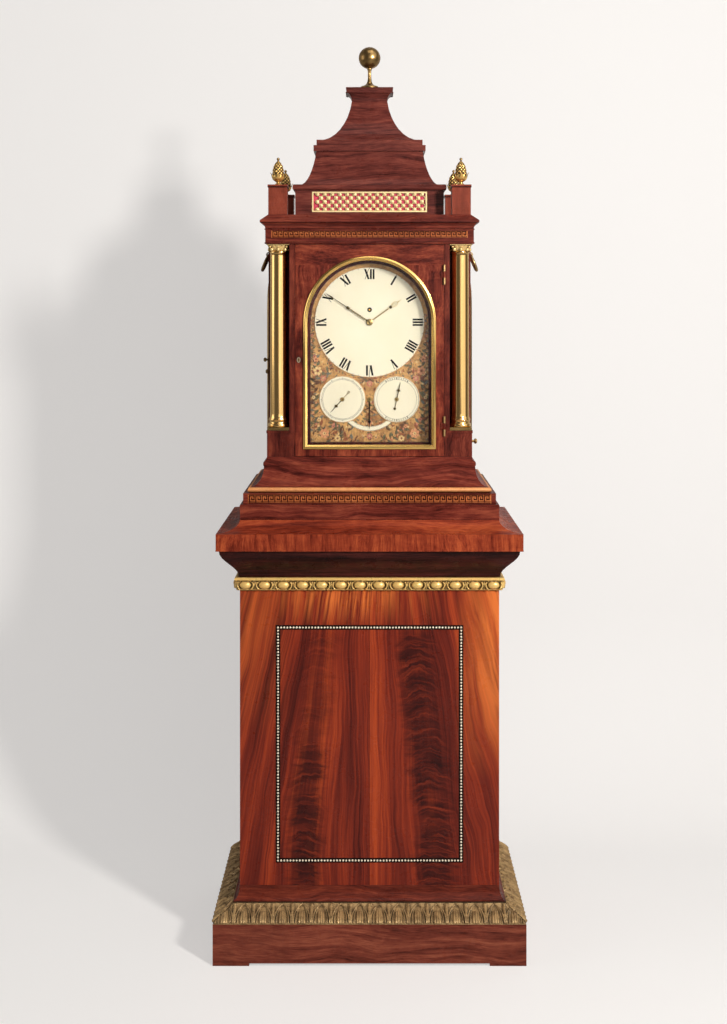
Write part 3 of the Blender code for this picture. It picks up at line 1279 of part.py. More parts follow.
def make_lever():
    """A flat arm and tail on a headed pin that turns in the case side, with a finger knob."""
    half = LEVER_WIDTH / 2
    arm_shares = ((0.0, 0.8), (0.7, 0.55), (0.85, 0.9), (1.12, 0.9), (1.2, 0.4))
    tail_shares = ((0.0, 0.8), (0.5, 0.6), (1.0, 0.2))
    spokes = [(math.radians(90.0), [(LEVER_ARM * d, half * w) for d, w in arm_shares]),
              (math.radians(-90.0), [(LEVER_TAIL * d, half * w) for d, w in tail_shares])]
    bm = bmesh.new()
    prism(bm, spoked_outline(LEVER_HUB_RADIUS, spokes), 0.0, LEVER_THICKNESS)
    frame = side_frame(-1, CASE_HALF + SEAT_GAP) @ upright(-FITTING_Y, BASE_TOP + LEVER_HEIGHT, 0.0)
    lever = finish("side_lever", bm, "brass", frame)
    middle = LEVER_THICKNESS / 2
    top = LEVER_THICKNESS
    grip = LEVER_KNOB_RADIUS
    knob = [(0.0, middle), (grip / 2, middle), (grip / 2, top + LEVER_KNOB_LENGTH / 3),
            (grip, top + LEVER_KNOB_LENGTH / 2), (grip, top + LEVER_KNOB_LENGTH * 0.85),
            (grip * 0.6, top + LEVER_KNOB_LENGTH), (0.0, top + LEVER_KNOB_LENGTH)]
    pin = [(0.0, -LEVER_PIN_LENGTH), (LEVER_PIN_RADIUS, -LEVER_PIN_LENGTH), (LEVER_PIN_RADIUS, middle),
           (LEVER_HEAD_RADIUS, middle), (LEVER_HEAD_RADIUS, 2 * top), (LEVER_HEAD_RADIUS * 0.6, 2.6 * top),
           (0.0, 2.6 * top)]
    bm = bmesh.new()
    add_turned(bm, knob, upright(0.0, LEVER_ARM, 0.0))
    add_turned(bm, pin, upright(0.0, 0.0, 0.0))
    boolean(lever, finish("lever_turnings", bm, "brass", frame, cutter=True), "UNION")


def make_pull_knob():
    """A spool on a stem that slides out through the right side."""
    shares = ((0.06, 0.45), (0.06, 0.9), (0.16, 1.0), (0.28, 0.9), (0.34, 0.5), (0.56, 0.45), (0.64, 0.9),
              (0.78, 1.0), (0.92, 0.8))
    profile = [(0.0, -KNOB_STEM_LENGTH), (KNOB_STEM_RADIUS, -KNOB_STEM_LENGTH),
               (KNOB_STEM_RADIUS, KNOB_LENGTH * shares[0][0])]
    profile += [(KNOB_RADIUS * radius, KNOB_LENGTH * along) for along, radius in shares[1:]]
    profile.append((0.0, KNOB_LENGTH))
    bm = bmesh.new()
    turned(bm, profile, SMALL_STEPS)
    place = side_frame(1, CASE_HALF + SEAT_GAP) @ upright(FITTING_Y, BASE_TOP + KNOB_HEIGHT, 0.0)
    finish("pull_knob", bm, "brass", place, smooth=True)


# Movement

def make_seat_board():
    half = SIDE_INNER - SEAT_GAP
    front = POST_BACK + SEAT_GAP
    bm = bmesh.new()
    add_box(bm, (-half, half), (front, front + SEAT_BOARD_DEPTH),
            (SEAT_BOARD_TOP - SEAT_BOARD_THICKNESS, SEAT_BOARD_TOP))
    finish("seat_board", bm, "mahogany")


def make_movement_frame():
    """Front and back plates joined by pillars, with the pendulum cock and the music brackets."""
    half = MOVEMENT_WIDTH / 2
    top = MOVEMENT_FLOOR + MOVEMENT_HEIGHT
    into = MOVEMENT_PLATE / 2
    winding = circle(WINDING_ARBOR_RADIUS + BORE_CLEARANCE, SMALL_STEPS, (0.0, DIAL_LEVEL + WINDING_RISE))
    minute = circle(ARBOR_RADIUS + BORE_CLEARANCE, SMALL_STEPS, (0.0, DIAL_LEVEL))
    outline = box_outline(-half, half, MOVEMENT_FLOOR, top)
    bm = bmesh.new()
    pierced_plate(bm, outline, dial_holes()[1] + [minute, winding], 0.0, MOVEMENT_PLATE)
    frame = finish("movement_frame", bm, "brass", facing_front(0.0, MOVEMENT_FRONT + MOVEMENT_PLATE, 0.0))
    bm = bmesh.new()
    pierced_plate(bm, outline, [winding], 0.0, MOVEMENT_PLATE)
    rear = facing_front(0.0, MOVEMENT_REAR, 0.0)
    boolean(frame, finish("back_plate", bm, "brass", rear, cutter=True), "UNION")
    cock_low = PENDULUM_PIVOT + SEAT_GAP
    bm = bmesh.new()
    add_box(bm, (-COCK_WIDTH / 2, COCK_WIDTH / 2), (MOVEMENT_REAR - into, PENDULUM_Y + COCK_WIDTH / 2),
            (cock_low, cock_low + COCK_WIDTH / 2))
    add_music_brackets(bm)
    boolean(frame, finish("cock_and_brackets", bm, "brass", cutter=True), "UNION")
    length = MOVEMENT_DEPTH - MOVEMENT_PLATE
    waist_shares = ((1.0, 0.0), (1.0, 0.12), (0.7, 0.2), (0.7, 0.8), (1.0, 0.88), (1.0, 1.0))
    pillar = [(0.0, -into)]
    pillar += [(PILLAR_RADIUS * radius, mixed(-into, length + into, along)) for radius, along in waist_shares]
    pillar.append((0.0, length + into))
    bm = bmesh.new()
    for x in (-half + PILLAR_INSET, half - PILLAR_INSET):
        for z in (MOVEMENT_FLOOR + PILLAR_INSET, top - PILLAR_INSET):
            add_turned(bm, pillar, facing_front(x, MOVEMENT_BACK, z))
    boolean(frame, finish("pillars", bm, "brass", cutter=True), "UNION")


def add_music_brackets(bm):
    bores = []
    for (y, z), radius in ((BARREL_CENTRE, WINDING_ARBOR_RADIUS), (HAMMER_CENTRE, HAMMER_ROD_RADIUS),
                           (BELL_CENTRE, BELL_ROD_RADIUS)):
        bores.append(circle(radius + BORE_CLEARANCE, SMALL_STEPS, (y, z)))
    margin = 3 * WINDING_ARBOR_RADIUS
    low = BARREL_CENTRE[1] - margin
    high = BELL_CENTRE[1] + margin
    reach = max(BARREL_CENTRE[0], HAMMER_CENTRE[0], BELL_CENTRE[0]) + margin
    start = MOVEMENT_REAR - MOVEMENT_PLATE / 2
    outline = [(start, low), (BARREL_CENTRE[0] + margin, low), (reach, HAMMER_CENTRE[1] - margin),
               (reach, HAMMER_CENTRE[1] + margin), (BELL_CENTRE[0] + margin, high), (start, high)]
    for x in (-BRACKET_SPREAD / 2, BRACKET_SPREAD / 2 - BRACKET_THICKNESS):
        before = set(bm.verts)
        pierced_plate(bm, outline, bores, 0.0, BRACKET_THICKNESS)
        move_new(bm, before, side_frame(1, x))


def gear_loop(radius, root_share, height, teeth):
    points = []
    for step in range(2 * teeth):
        angle = math.tau * step / (2 * teeth)
        reach = radius if step % 2 else radius * root_share
        points.append((reach * math.cos(angle), reach * math.sin(angle), height))
    return points


def make_spring_barrel():
    """Barrel and great wheel on the winding arbor, whose square stands behind the dial's hole."""
    count = 2 * GREAT_WHEEL_TEETH
    barrel_low = MOVEMENT_PLATE + CUT_OVERRUN
    barrel_high = barrel_low + BARREL_LENGTH
    wheel_high = barrel_high + GREAT_WHEEL_THICKNESS
    shoulder = MOVEMENT_REAR - MOVEMENT_FRONT + BORE_CLEARANCE
    tip = MOVEMENT_REAR - PLATE_FRONT
    loops = [round_loop(WINDING_ARBOR_RADIUS, height, count) for height in (0.0, barrel_low)]
    loops += [round_loop(BARREL_RADIUS, height, count) for height in (barrel_low, barrel_high)]
    loops += [gear_loop(GREAT_WHEEL_RADIUS, WHEEL_TOOTH_SHARE, height, GREAT_WHEEL_TEETH)
              for height in (barrel_high, wheel_high)]
    loops += [round_loop(WINDING_ARBOR_RADIUS, height, count) for height in (wheel_high, shoulder)]
    loops += [square_loop(WINDING_SQUARE / 2, height, count) for height in (shoulder, tip)]
    bm = bmesh.new()
    skin(bm, loops)
    finish("spring_barrel", bm, "brass", facing_front(0.0, MOVEMENT_REAR, DIAL_LEVEL + WINDING_RISE))


def make_music_barrel():
    """A drum whose pins are inset and drawn out of its cells, one tune's worth."""
    half = PIN_BARREL_LENGTH / 2
    end = BRACKET_SPREAD / 2
    count = PIN_BARREL_SIDES
    loops = [round_loop(WINDING_ARBOR_RADIUS, -end, count), round_loop(WINDING_ARBOR_RADIUS, -half, count)]
    for row in range(PIN_BARREL_ROWS + 1):
        loops.append(round_loop(PIN_BARREL_RADIUS, -half + PIN_BARREL_LENGTH * row / PIN_BARREL_ROWS, count))
    loops += [round_loop(WINDING_ARBOR_RADIUS, half, count), round_loop(WINDING_ARBOR_RADIUS, end, count)]
    bm = bmesh.new()
    skin(bm, loops)
    bm.faces.ensure_lookup_table()
    bmesh.ops.recalc_face_normals(bm, faces=bm.faces)
    cells = [face for face in bm.faces if abs(face.normal.z) < 0.5 and abs(face.calc_center_median().z) < half
             and face.calc_center_median().xy.length > PIN_BARREL_RADIUS / 2]
    cells.sort(key=lambda face: (round(face.calc_center_median().z / SEAT_GAP), face.calc_center_median().y,
                                 face.calc_center_median().x))
    pinned = cells[::TUNE_PIN_STRIDE]
    bmesh.ops.inset_individual(bm, faces=pinned, thickness=PIN_INSET)
    grown = bmesh.ops.extrude_discrete_faces(bm, faces=pinned)
    for face in grown["faces"]:
        bmesh.ops.translate(bm, verts=face.verts, vec=face.normal * PIN_HEIGHT)
    lie = Matrix.Rotation(math.radians(90.0), 4, "Y")
    finish("music_barrel", bm, "brass", upright(0.0, *BARREL_CENTRE) @ lie)


def bell_radius(index):
    return mixed(BELL_SMALL_RADIUS, BELL_LARGE_RADIUS, index / max(1, HAMMER_COUNT - 1))


def hammer_x(index):
    return (index - (HAMMER_COUNT - 1) / 2) * HAMMER_SPACING


def bell_profile(index):
    """One cup bell as (radius, place along the rod): out over the crown, back inside from the rim."""
    radius = bell_radius(index)
    depth = radius * BELL_DEPTH_SHARE
    rim = hammer_x(index) - HAMMER_THICKNESS
    outer = []
    inner = []
    for step in range(BELL_STEPS + 1):
        share = step / BELL_STEPS
        for points, wall in ((outer, 0.0), (inner, BELL_WALL)):
            turn = math.acos(BELL_ROD_RADIUS / (radius - wall)) * share
            points.append(((radius - wall) * math.cos(turn), rim + (depth - wall) * math.sin(turn)))
    return inner[::-1] + outer


def make_bells():
    """The whole nest is one turning: a rod with its cup bells, mouths to the left."""
    end = BRACKET_SPREAD / 2
    profile = [(0.0, -end), (BELL_ROD_RADIUS, -end)]
    for index in range(HAMMER_COUNT):
        profile += bell_profile(index)
    profile += [(BELL_ROD_RADIUS, end), (0.0, end)]
    bm = bmesh.new()
    turned(bm, profile, SMALL_STEPS + 2)
    lie = Matrix.Rotation(math.radians(90.0), 4, "Y")
    finish("bell_nest", bm, "bell_metal", upright(0.0, *BELL_CENTRE) @ lie, smooth=True)


def make_hammers():
    """Hammers on one arbor. Each head stands off its bell's rim, each tail over the barrel's pins."""
    tail_run = Vector(BARREL_CENTRE) - Vector(HAMMER_CENTRE)
    tail_reach = tail_run.length - PIN_BARREL_RADIUS - PIN_HEIGHT - HAMMER_TAIL_GAP
    tail_angle = math.atan2(tail_run.y, tail_run.x)
    half = HAMMER_ARM_WIDTH / 2
    head_half = HAMMER_HEAD_WIDTH / 2
    head_diagonal = math.hypot(head_half, HAMMER_HEAD_LENGTH / 2)
    strike = math.radians(BELL_STRIKE_ANGLE)
    direction = Vector((math.cos(strike), math.sin(strike)))
    end = BRACKET_SPREAD / 2
    arbor = [(0.0, -end), (HAMMER_ROD_RADIUS, -end), (HAMMER_ROD_RADIUS, end), (0.0, end)]
    bm = bmesh.new()
    turned(bm, arbor, SMALL_STEPS)
    frame = upright(0.0, *HAMMER_CENTRE) @ side_frame(1, 0.0)
    hammers = finish("music_hammers", bm, "brass", frame)
    bm = bmesh.new()
    for index in range(HAMMER_COUNT):
        head = Vector(BELL_CENTRE) + direction * (bell_radius(index) + HAMMER_TAIL_GAP + head_diagonal)
        run = head - Vector(HAMMER_CENTRE)
        start = run.length - HAMMER_HEAD_LENGTH / 2
        stop = run.length + HAMMER_HEAD_LENGTH / 2
        arm = [(0.0, half), (start, half), (start, head_half), (stop, head_half)]
        spokes = [(math.atan2(run.y, run.x), arm), (tail_angle, [(0.0, half), (tail_reach, half / 2)])]
        left = hammer_x(index) - HAMMER_THICKNESS / 2
        prism(bm, spoked_outline(HAMMER_HUB_RADIUS, spokes), left, left + HAMMER_THICKNESS)
    boolean(hammers, finish("hammer_blanks", bm, "brass", frame, cutter=True), "UNION")


def make_pendulum():
    """Rod and lens-shaped bob, with the origin where the suspension bends."""
    rod_low = -PENDULUM_LENGTH + BOB_RADIUS / 2
    bm = bmesh.new()
    section = []
    for step in range(7):
        turn = math.pi * step / 6 - math.pi / 2
        section.append((BOB_RADIUS * math.cos(turn), BOB_THICKNESS / 2 * math.sin(turn)))
    section[0] = (0.0, section[0][1])
    section[-1] = (0.0, section[-1][1])
    turned(bm, section)
    bmesh.ops.translate(bm, verts=bm.verts, vec=(0.0, -PENDULUM_LENGTH, 0.0))
    place = facing_front(0.0, PENDULUM_Y, PENDULUM_PIVOT)
    pendulum = finish("pendulum", bm, "brass", place, smooth=True)
    bm = bmesh.new()
    rod = [(0.0, rod_low), (PENDULUM_ROD_RADIUS, rod_low), (PENDULUM_ROD_RADIUS, 0.0), (0.0, 0.0)]
    turned(bm, rod, SMALL_STEPS)
    rod_object = finish("pendulum_rod", bm, "brass", upright(0.0, PENDULUM_Y, PENDULUM_PIVOT), cutter=True)
    boolean(pendulum, rod_object, "UNION")


def build():
    clear_scene()
    make_plinth()
    make_pedestal_mouldings()
    make_pedestal_carcass()
    make_bead_frame()
    make_egg_moulding()
    make_clock_base()
    make_corner_posts()
    make_columns()
    make_case_sides()
    make_side_frets()
    make_back_frame()
    make_entablature()
    make_pineapples()
    roof_peak = make_pagoda()
    make_fret_and_silk()
    make_ball_finial(roof_peak)
    make_door()
    make_front_hinges()
    make_back_door()
    make_dial()
    make_hands()
    make_handle_bosses()
    make_handles()
    make_lever()
    make_pull_knob()
    make_seat_board()
    make_movement_frame()
    make_spring_barrel()
    make_music_barrel()
    make_bells()
    make_hammers()
    make_pendulum()


build()
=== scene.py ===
"""A musical bracket clock on its pedestal: materials, carved and painted detail, light and camera."""

import math
import random

import bpy
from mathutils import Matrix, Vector


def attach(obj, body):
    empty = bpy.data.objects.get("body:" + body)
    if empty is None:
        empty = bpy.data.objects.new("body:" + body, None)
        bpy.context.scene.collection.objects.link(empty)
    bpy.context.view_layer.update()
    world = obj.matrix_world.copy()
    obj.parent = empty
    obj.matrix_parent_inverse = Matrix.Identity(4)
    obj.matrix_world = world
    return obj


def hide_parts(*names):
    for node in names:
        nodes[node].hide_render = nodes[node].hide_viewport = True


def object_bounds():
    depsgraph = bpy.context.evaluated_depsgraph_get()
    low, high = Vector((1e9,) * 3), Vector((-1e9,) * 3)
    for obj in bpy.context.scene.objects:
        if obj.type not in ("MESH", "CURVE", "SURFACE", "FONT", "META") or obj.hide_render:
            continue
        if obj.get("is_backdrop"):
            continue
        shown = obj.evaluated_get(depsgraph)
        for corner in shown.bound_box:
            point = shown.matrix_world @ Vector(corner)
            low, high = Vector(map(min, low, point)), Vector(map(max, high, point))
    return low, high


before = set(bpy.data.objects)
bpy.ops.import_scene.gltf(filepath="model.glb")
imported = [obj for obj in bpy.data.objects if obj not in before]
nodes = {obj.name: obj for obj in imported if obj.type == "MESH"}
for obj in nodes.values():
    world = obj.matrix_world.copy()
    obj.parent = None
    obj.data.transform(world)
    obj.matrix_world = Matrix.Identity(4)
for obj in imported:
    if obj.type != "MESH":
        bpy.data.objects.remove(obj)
cad_bounds = [list(corner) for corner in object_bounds()]

WORD = {-1: "left", 1: "right"}
CASE_BACK = 0.1951
STRIP_BACK = 0.1950
FINIAL_X = 0.1824
FINIAL_ROWS = {"front": -0.0769, "back": 0.1742}
PALE_LIGHT = (1.0, 0.975, 0.955, 1.0)
LAMP_COLOUR = (1.0, 0.97, 0.93)


# Colour and material helpers

def srgb(red, green, blue):
    """A colour from 0 to 255 as linear light."""
    shares = [part / 255 for part in (red, green, blue)]
    return (*(part / 12.92 if part <= 0.04045 else ((part + 0.055) / 1.055) ** 2.4 for part in shares), 1.0)


def sum_of(operation, swapped=False):
    """A method of Wire that becomes a math node."""
    if swapped:
        return lambda wire, other: wire.paint.sum(operation, other, wire)
    return lambda wire, other=0.0: wire.paint.sum(operation, wire, other)


class Wire:
    """What comes out of a shader node. Sums with it become math nodes."""

    def __init__(self, paint, socket):
        self.paint = paint
        self.socket = socket

    __add__, __mul__, __truediv__ = sum_of("ADD"), sum_of("MULTIPLY"), sum_of("DIVIDE")
    __sub__, __rsub__ = sum_of("SUBTRACT"), sum_of("SUBTRACT", True)
    __gt__, __lt__, __abs__ = sum_of("GREATER_THAN"), sum_of("LESS_THAN"), sum_of("ABSOLUTE")
    larger = sum_of("MAXIMUM")


class Paint:
    """A material or the world, made node by node. Colours of three numbers go from 0 to 255."""

    def __init__(self, name, kind="materials", space="Object"):
        self.owner = getattr(bpy.data, kind).new(name)
        self.owner.use_nodes = True
        self.tree = self.owner.node_tree
        self.tree.nodes.clear()
        self.where = self.wire("TexCoord", space)

    def node(self, kind, inputs=None, **settings):
        made = self.tree.nodes.new("ShaderNode" + kind)
        for key, value in settings.items():
            setattr(made, key, value)
        for key, value in (inputs or {}).items():
            socket = made.inputs[key]
            if isinstance(value, Wire):
                self.tree.links.new(value.socket, socket)
            elif socket.type == "RGBA" and len(value) == 3:
                socket.default_value = srgb(*value)
            else:
                socket.default_value = value
        return made

    def wire(self, kind, output=0, inputs=None, **settings):
        return Wire(self, self.node(kind, inputs, **settings).outputs[output])

    def axes(self):
        return [Wire(self, socket) for socket in self.node("SeparateXYZ", {"Vector": self.where}).outputs]

    def join(self, x, y, z):
        return self.wire("CombineXYZ", 0, {"X": x, "Y": y, "Z": z})

    def place(self, scale, vector=None):
        return self.wire("Mapping", "Vector", {"Vector": vector or self.where, "Scale": scale})

    def noise(self, vector, scale, detail=3.0, rough=0.5, warp=0.0):
        inputs = {"Vector": vector, "Scale": scale, "Detail": detail, "Roughness": rough, "Distortion": warp}
        return self.wire("TexNoise", "Fac", inputs)

    def sum(self, operation, first, second=0.0, third=0.0):
        return self.wire("Math", 0, {0: first, 1: second, 2: third}, operation=operation)

    def span(self, value, low, high, to_low=0.0, to_high=1.0):
        inputs = {"Value": value, "From Min": low, "From Max": high, "To Min": to_low, "To Max": to_high}
        return self.wire("MapRange", 0, inputs)

    def ramp(self, value, *stops):
        made = self.node("ValToRGB", {"Fac": value})
        elements = made.color_ramp.elements
        while len(elements) < len(stops):
            elements.new(0.5)
        for element, (place, colour) in zip(elements, stops):
            element.position = place
            element.color = srgb(*colour)
        return Wire(self, made.outputs["Color"])

    def mix(self, share, first, second):
        return self.wire("Mix", 2, {0: share, 6: first, 7: second}, data_type="RGBA")

    def choose(self, share, first, second):
        return self.wire("Mix", 1, {0: share, 4: first, 5: second}, data_type="VECTOR")

    def over(self, colour, other, value, low, high, share=1.0, before=0.0):
        """Lays other over colour. Its part goes from before to share as value goes from low to high."""
        return self.mix(self.span(value, low, high, before, share), colour, other)

    def corner_grime_and_shade(self, colour, grime_and_shade, distance, low, high, share):
        """Lays grime and painted shade in the corners, found by ambient occlusion."""
        corner = self.wire("AmbientOcclusion", "AO", {"Distance": distance}, samples=8)
        return self.over(colour, grime_and_shade, corner, low, high, 0.0, share)

    def seen(self, mirrored):
        """1 to the eye, mirrored in mirrors, and nothing as light."""
        camera, glass, mirror = (
            self.wire("LightPath", f"Is {word} Ray") for word in ("Camera", "Transmission", "Glossy")
        )
        return camera.larger(glass).larger(mirror * mirrored)

    def bump(self, height, strength, distance, normal=None):
        inputs = {"Height": height, "Strength": strength, "Distance": distance}
        if normal:
            inputs["Normal"] = normal
        return self.wire("Bump", 0, inputs)

    def finish(self, **inputs):
        inputs = {key.replace("_", " "): value for key, value in inputs.items()}
        self.node("OutputMaterial", {"Surface": self.wire("BsdfPrincipled", 0, inputs)})
        return self.owner


STRETCHES = {"X": (1.6, 5, 30), "Z": (30, 30, 1.6), "XY": (1.6, 1.6, 30), "SLANT": (5, 5, 34)}


def wood(
    name, dark, middle, light, along="XY", figure=1.0, rough=0.28, coat=0.08, ripple=0.15, shine=0.10,
    banded=None, quirks=(),
):
    """Polished mahogany with its grain along one axis.

    banded is (low, high, grain, share of the light colour) for a band between two heights. A thin line of
    painted shadow darkens each quirk.
    """
    paint = Paint(name)
    shift = paint.noise(paint.where, 5.0, 2.0) * (0.06 * figure)
    inputs = {0: paint.where, 1: paint.join(shift, shift, shift)}
    bent = paint.wire("VectorMath", 0, inputs, operation="ADD")
    z = paint.axes()[2] if banded or quirks else None
    if banded:
        low, high, band_along, paler = banded
        inside = (z > low) * (z < high)

    def stretched(times, grain, vector=None):
        return paint.place([times * part for part in STRETCHES[grain]], vector)

    def grain_place(times):
        place = stretched(times, along, bent)
        return paint.choose(inside, place, stretched(times, band_along, bent)) if banded else place

    streaks = paint.noise(grain_place(1), 2.3, 6.0, 0.62, 0.3)
    fine = paint.noise(grain_place(7), 3.0, 4.0, 0.7)
    curl = paint.noise(paint.place((13, 13, 34)), 1.2, 4.0, 0.6, 1.6)
    grain = streaks * 0.60 + fine * 0.40 + (curl - 0.5) * ripple
    colour = paint.ramp(grain, (0.37, dark), (0.50, middle), (0.64, light))
    if banded and paler:
        colour = paint.mix(inside * paler, colour, light)
    clouds = paint.noise(paint.where, 9.0, 4.0, 0.6, 1.2)
    colour = paint.over(colour, dark, clouds, 0.42, 0.70, 0.30)
    pores = paint.noise(stretched(12, along), 3.0, 2.0, 0.6)
    colour = paint.over(colour, (34, 10, 6), pores, 0.54, 0.72, 0.20)
    # Each quirk gets a thin line of painted shadow.
    for quirk in quirks:
        colour = paint.over(colour, (34, 12, 9), abs(z - quirk), 0.0003, 0.0011, 0.0, 0.75)
    wear = paint.noise(paint.where, 38.0, 4.0, 0.6)
    return paint.finish(
        # Grime and painted shade darken the corners.
        Base_Color=paint.corner_grime_and_shade(colour, (30, 10, 8), 0.010, 0.30, 0.80, 0.55),
        Roughness=paint.span(wear, 0.3, 0.75, rough - 0.05, rough + 0.12),
        Specular_IOR_Level=shine,
        Coat_Weight=coat,
        Coat_Roughness=0.10,
        Normal=paint.bump(paint.span(pores, 0.5, 0.72, 0.0, -1.0), 0.12, 0.0002),
    )


def flame_wood():
    """The bookmatched front of the pedestal. Its streaks fan out from a point high above it."""
    paint = Paint("flame_mahogany")
    x, _, z = paint.axes()
    side = x > 0.0
    waver = paint.noise(paint.place((6, 6, 2.2)), 1.5, 3.0, 0.5)
    fan = x / (1.50 - z) + (waver - 0.5) * 0.045

    def field(across, up, detail, rough, warp=0.0, scale=1.0):
        """Noise that differs between the two leaves of veneer."""
        return paint.noise(paint.join(across, side, up), scale, detail, rough, warp)

    grain = field(fan * 32.0, z * 1.3, 3.0, 0.5) * 0.54 + field(fan * 260.0, z * 3.4, 4.0, 0.65) * 0.46
    near_seam = side * paint.span(x, 0.0, 0.06, 0.03, 0.0)
    colour = paint.ramp(
        grain + near_seam,
        (0.36, (78, 24, 18)), (0.45, (112, 37, 25)), (0.53, (144, 51, 30)), (0.64, (184, 74, 37)),
    )
    # Two dark columns of ripples, one on each leaf
    offset = abs(x) - paint.span(z, 0.187, 0.636, 0.131, 0.092)
    bite = field(x * 7.0, z * 9.0, 3.0, 0.6, 0.8)
    fray = field(x * 9.0, z * 75.0, 4.0, 0.7, 0.6)
    edge = abs(offset + (bite - 0.5) * 0.05) + (fray - 0.5) * 0.05 - side * 0.005
    left_top = (1.0 - side) * paint.span(z, 0.36, 0.50)
    right_edge = paint.span(x, 0.105, 0.140) * paint.span(z, 0.38, 0.50)
    column = paint.span(edge, 0.016, 0.040, 0.92, 0.0) * paint.span(z, 0.615, 0.645, 1.0, 0.0)
    column = column * paint.span(bite, 0.30, 0.45, 0.45, 1.0) * (1.0 - left_top.larger(right_edge) * 0.5)
    wander = field(x * 16.0, z * 16.0, 4.0, 0.6)
    rise = z + offset * offset * 9.0 + wander * 0.045
    plume = paint.ramp(
        field(x * 9.0, rise * 125.0, 4.0, 0.62, 0.7),
        (0.36, (36, 11, 12)), (0.50, (66, 20, 17)), (0.60, (98, 33, 22)), (0.70, (136, 50, 29)),
    )
    colour = paint.mix(column, colour, plume)
    # Painted sheen: bright streaks of the figure at the top and towards both upper edges, stronger on the
    # right, towards the light
    spray = paint.noise(paint.join(fan * 120.0, 0.0, z * 5.0), 1.0, 4.0, 0.6, 0.5)
    centred = paint.span(abs(x + 0.045), 0.03, 0.17, 1.0, 0.1)
    glow = paint.span(z, 0.640, 0.690) * centred * paint.span(spray, 0.42, 0.64, 0.0, 0.9)
    sheen_streaks = paint.span(field(fan * 46.0, z * 5.0, 4.0, 0.55, 0.6), 0.36, 0.62, 0.15, 1.0)
    for low, high, foot, top, share in ((0.165, 0.240, 0.34, 0.54, 0.95), (-0.150, -0.260, 0.42, 0.66, 0.45)):
        glow = glow.larger(paint.span(x, low, high) * paint.span(z, foot, top) * sheen_streaks * share)
    colour = paint.mix(glow, colour, (238, 126, 60))
    wear = paint.noise(paint.where, 30.0, 4.0, 0.6)
    return paint.finish(
        Base_Color=paint.over(colour, (52, 15, 10), abs(x), 0.0003, 0.0010, 0.0, 0.5),
        Roughness=paint.span(wear, 0.3, 0.75, 0.24, 0.38),
        Specular_IOR_Level=0.16,
        Coat_Weight=0.08,
        Coat_Roughness=0.14,
        Normal=paint.bump(field(fan * 260.0, z * 3.4, 3.0, 0.6, scale=2.0), 0.06, 0.0002),
    )


def metal(name, bright, dull, grime_and_shade, rough, age):
    """Lacquered or aged metal, with dull patches, fine scratches, and grime and painted shade in its corners.
    """
    paint = Paint(name)
    patches = paint.noise(paint.where, 16.0, 4.0, 0.6, 0.4)
    specks = paint.noise(paint.where, 420.0, 3.0, 0.6)
    scratch = paint.noise(paint.place((260, 260, 900)), 1.0, 3.0, 0.6)
    colour = paint.over(bright, dull, patches, 0.40, 0.70, age)
    colour = paint.over(colour, grime_and_shade, specks, 0.62, 0.76, age * 0.35)
    return paint.finish(
        # The corners take grime and painted shade.
        Base_Color=paint.corner_grime_and_shade(colour, grime_and_shade, 0.003, 0.20, 0.70, 0.7),
        Metallic=1.0,
        Roughness=paint.span(patches, 0.35, 0.75, rough - 0.02, rough + 0.08),
        Normal=paint.bump(scratch, 0.015, 0.0001),
    )


def gilding(name, bright, worn, grime_and_shade, rough, wear, metallic=0.35):
    """Gold leaf over carved wood, rubbed on its edges, with grime and painted shade in its hollows."""
    paint = Paint(name)
    patches = paint.noise(paint.where, 60.0, 5.0, 0.65, 0.5)
    specks = paint.noise(paint.where, 350.0, 3.0, 0.6)
    colour = paint.over(bright, worn, patches, 0.44, 0.62, wear)
    colour = paint.over(colour, grime_and_shade, specks, 0.60, 0.72, wear)
    return paint.finish(
        # The hollows take grime and painted shade.
        Base_Color=paint.corner_grime_and_shade(colour, grime_and_shade, 0.008, 0.30, 0.92, 0.95),
        Metallic=metallic,
        Roughness=paint.span(patches, 0.35, 0.7, rough - 0.06, rough + 0.2),
        Normal=paint.bump(specks, 0.12, 0.0003, paint.bump(patches, 0.12, 0.0006)),
    )


def plain(name, colour, other, scale, rough, metallic=0.0, coat=0.0, bumps=0.1, shine=0.5):
    """A painted, fired or stained surface, with a slow change of colour and of gloss."""
    paint = Paint(name)
    slow = paint.noise(paint.where, scale, 4.0, 0.6)
    fine = paint.noise(paint.where, scale * 14, 3.0, 0.6)
    shade = paint.over(colour, other, slow, 0.35, 0.7)
    return paint.finish(
        Base_Color=paint.over(shade, other, fine, 0.55, 0.75, 0.35),
        Metallic=metallic,
        Roughness=paint.span(slow, 0.3, 0.7, rough - 0.05, rough + 0.08),
        Specular_IOR_Level=shine,
        Coat_Weight=coat,
        Coat_Roughness=0.08,
        Normal=paint.bump(fine, bumps, 0.0004),
    )


def window_glass():
    paint = Paint("window_glass")
    smear = paint.noise(paint.where, 12.0, 3.0)
    return paint.finish(
        Base_Color=(0.97, 0.98, 0.97, 1.0),
        Roughness=paint.span(smear, 0.3, 0.7, 0.0, 0.02),
        Transmission_Weight=1.0,
        Alpha=0.30,
        IOR=1.45,
        Normal=paint.bump(smear, 0.02, 0.001),
    )


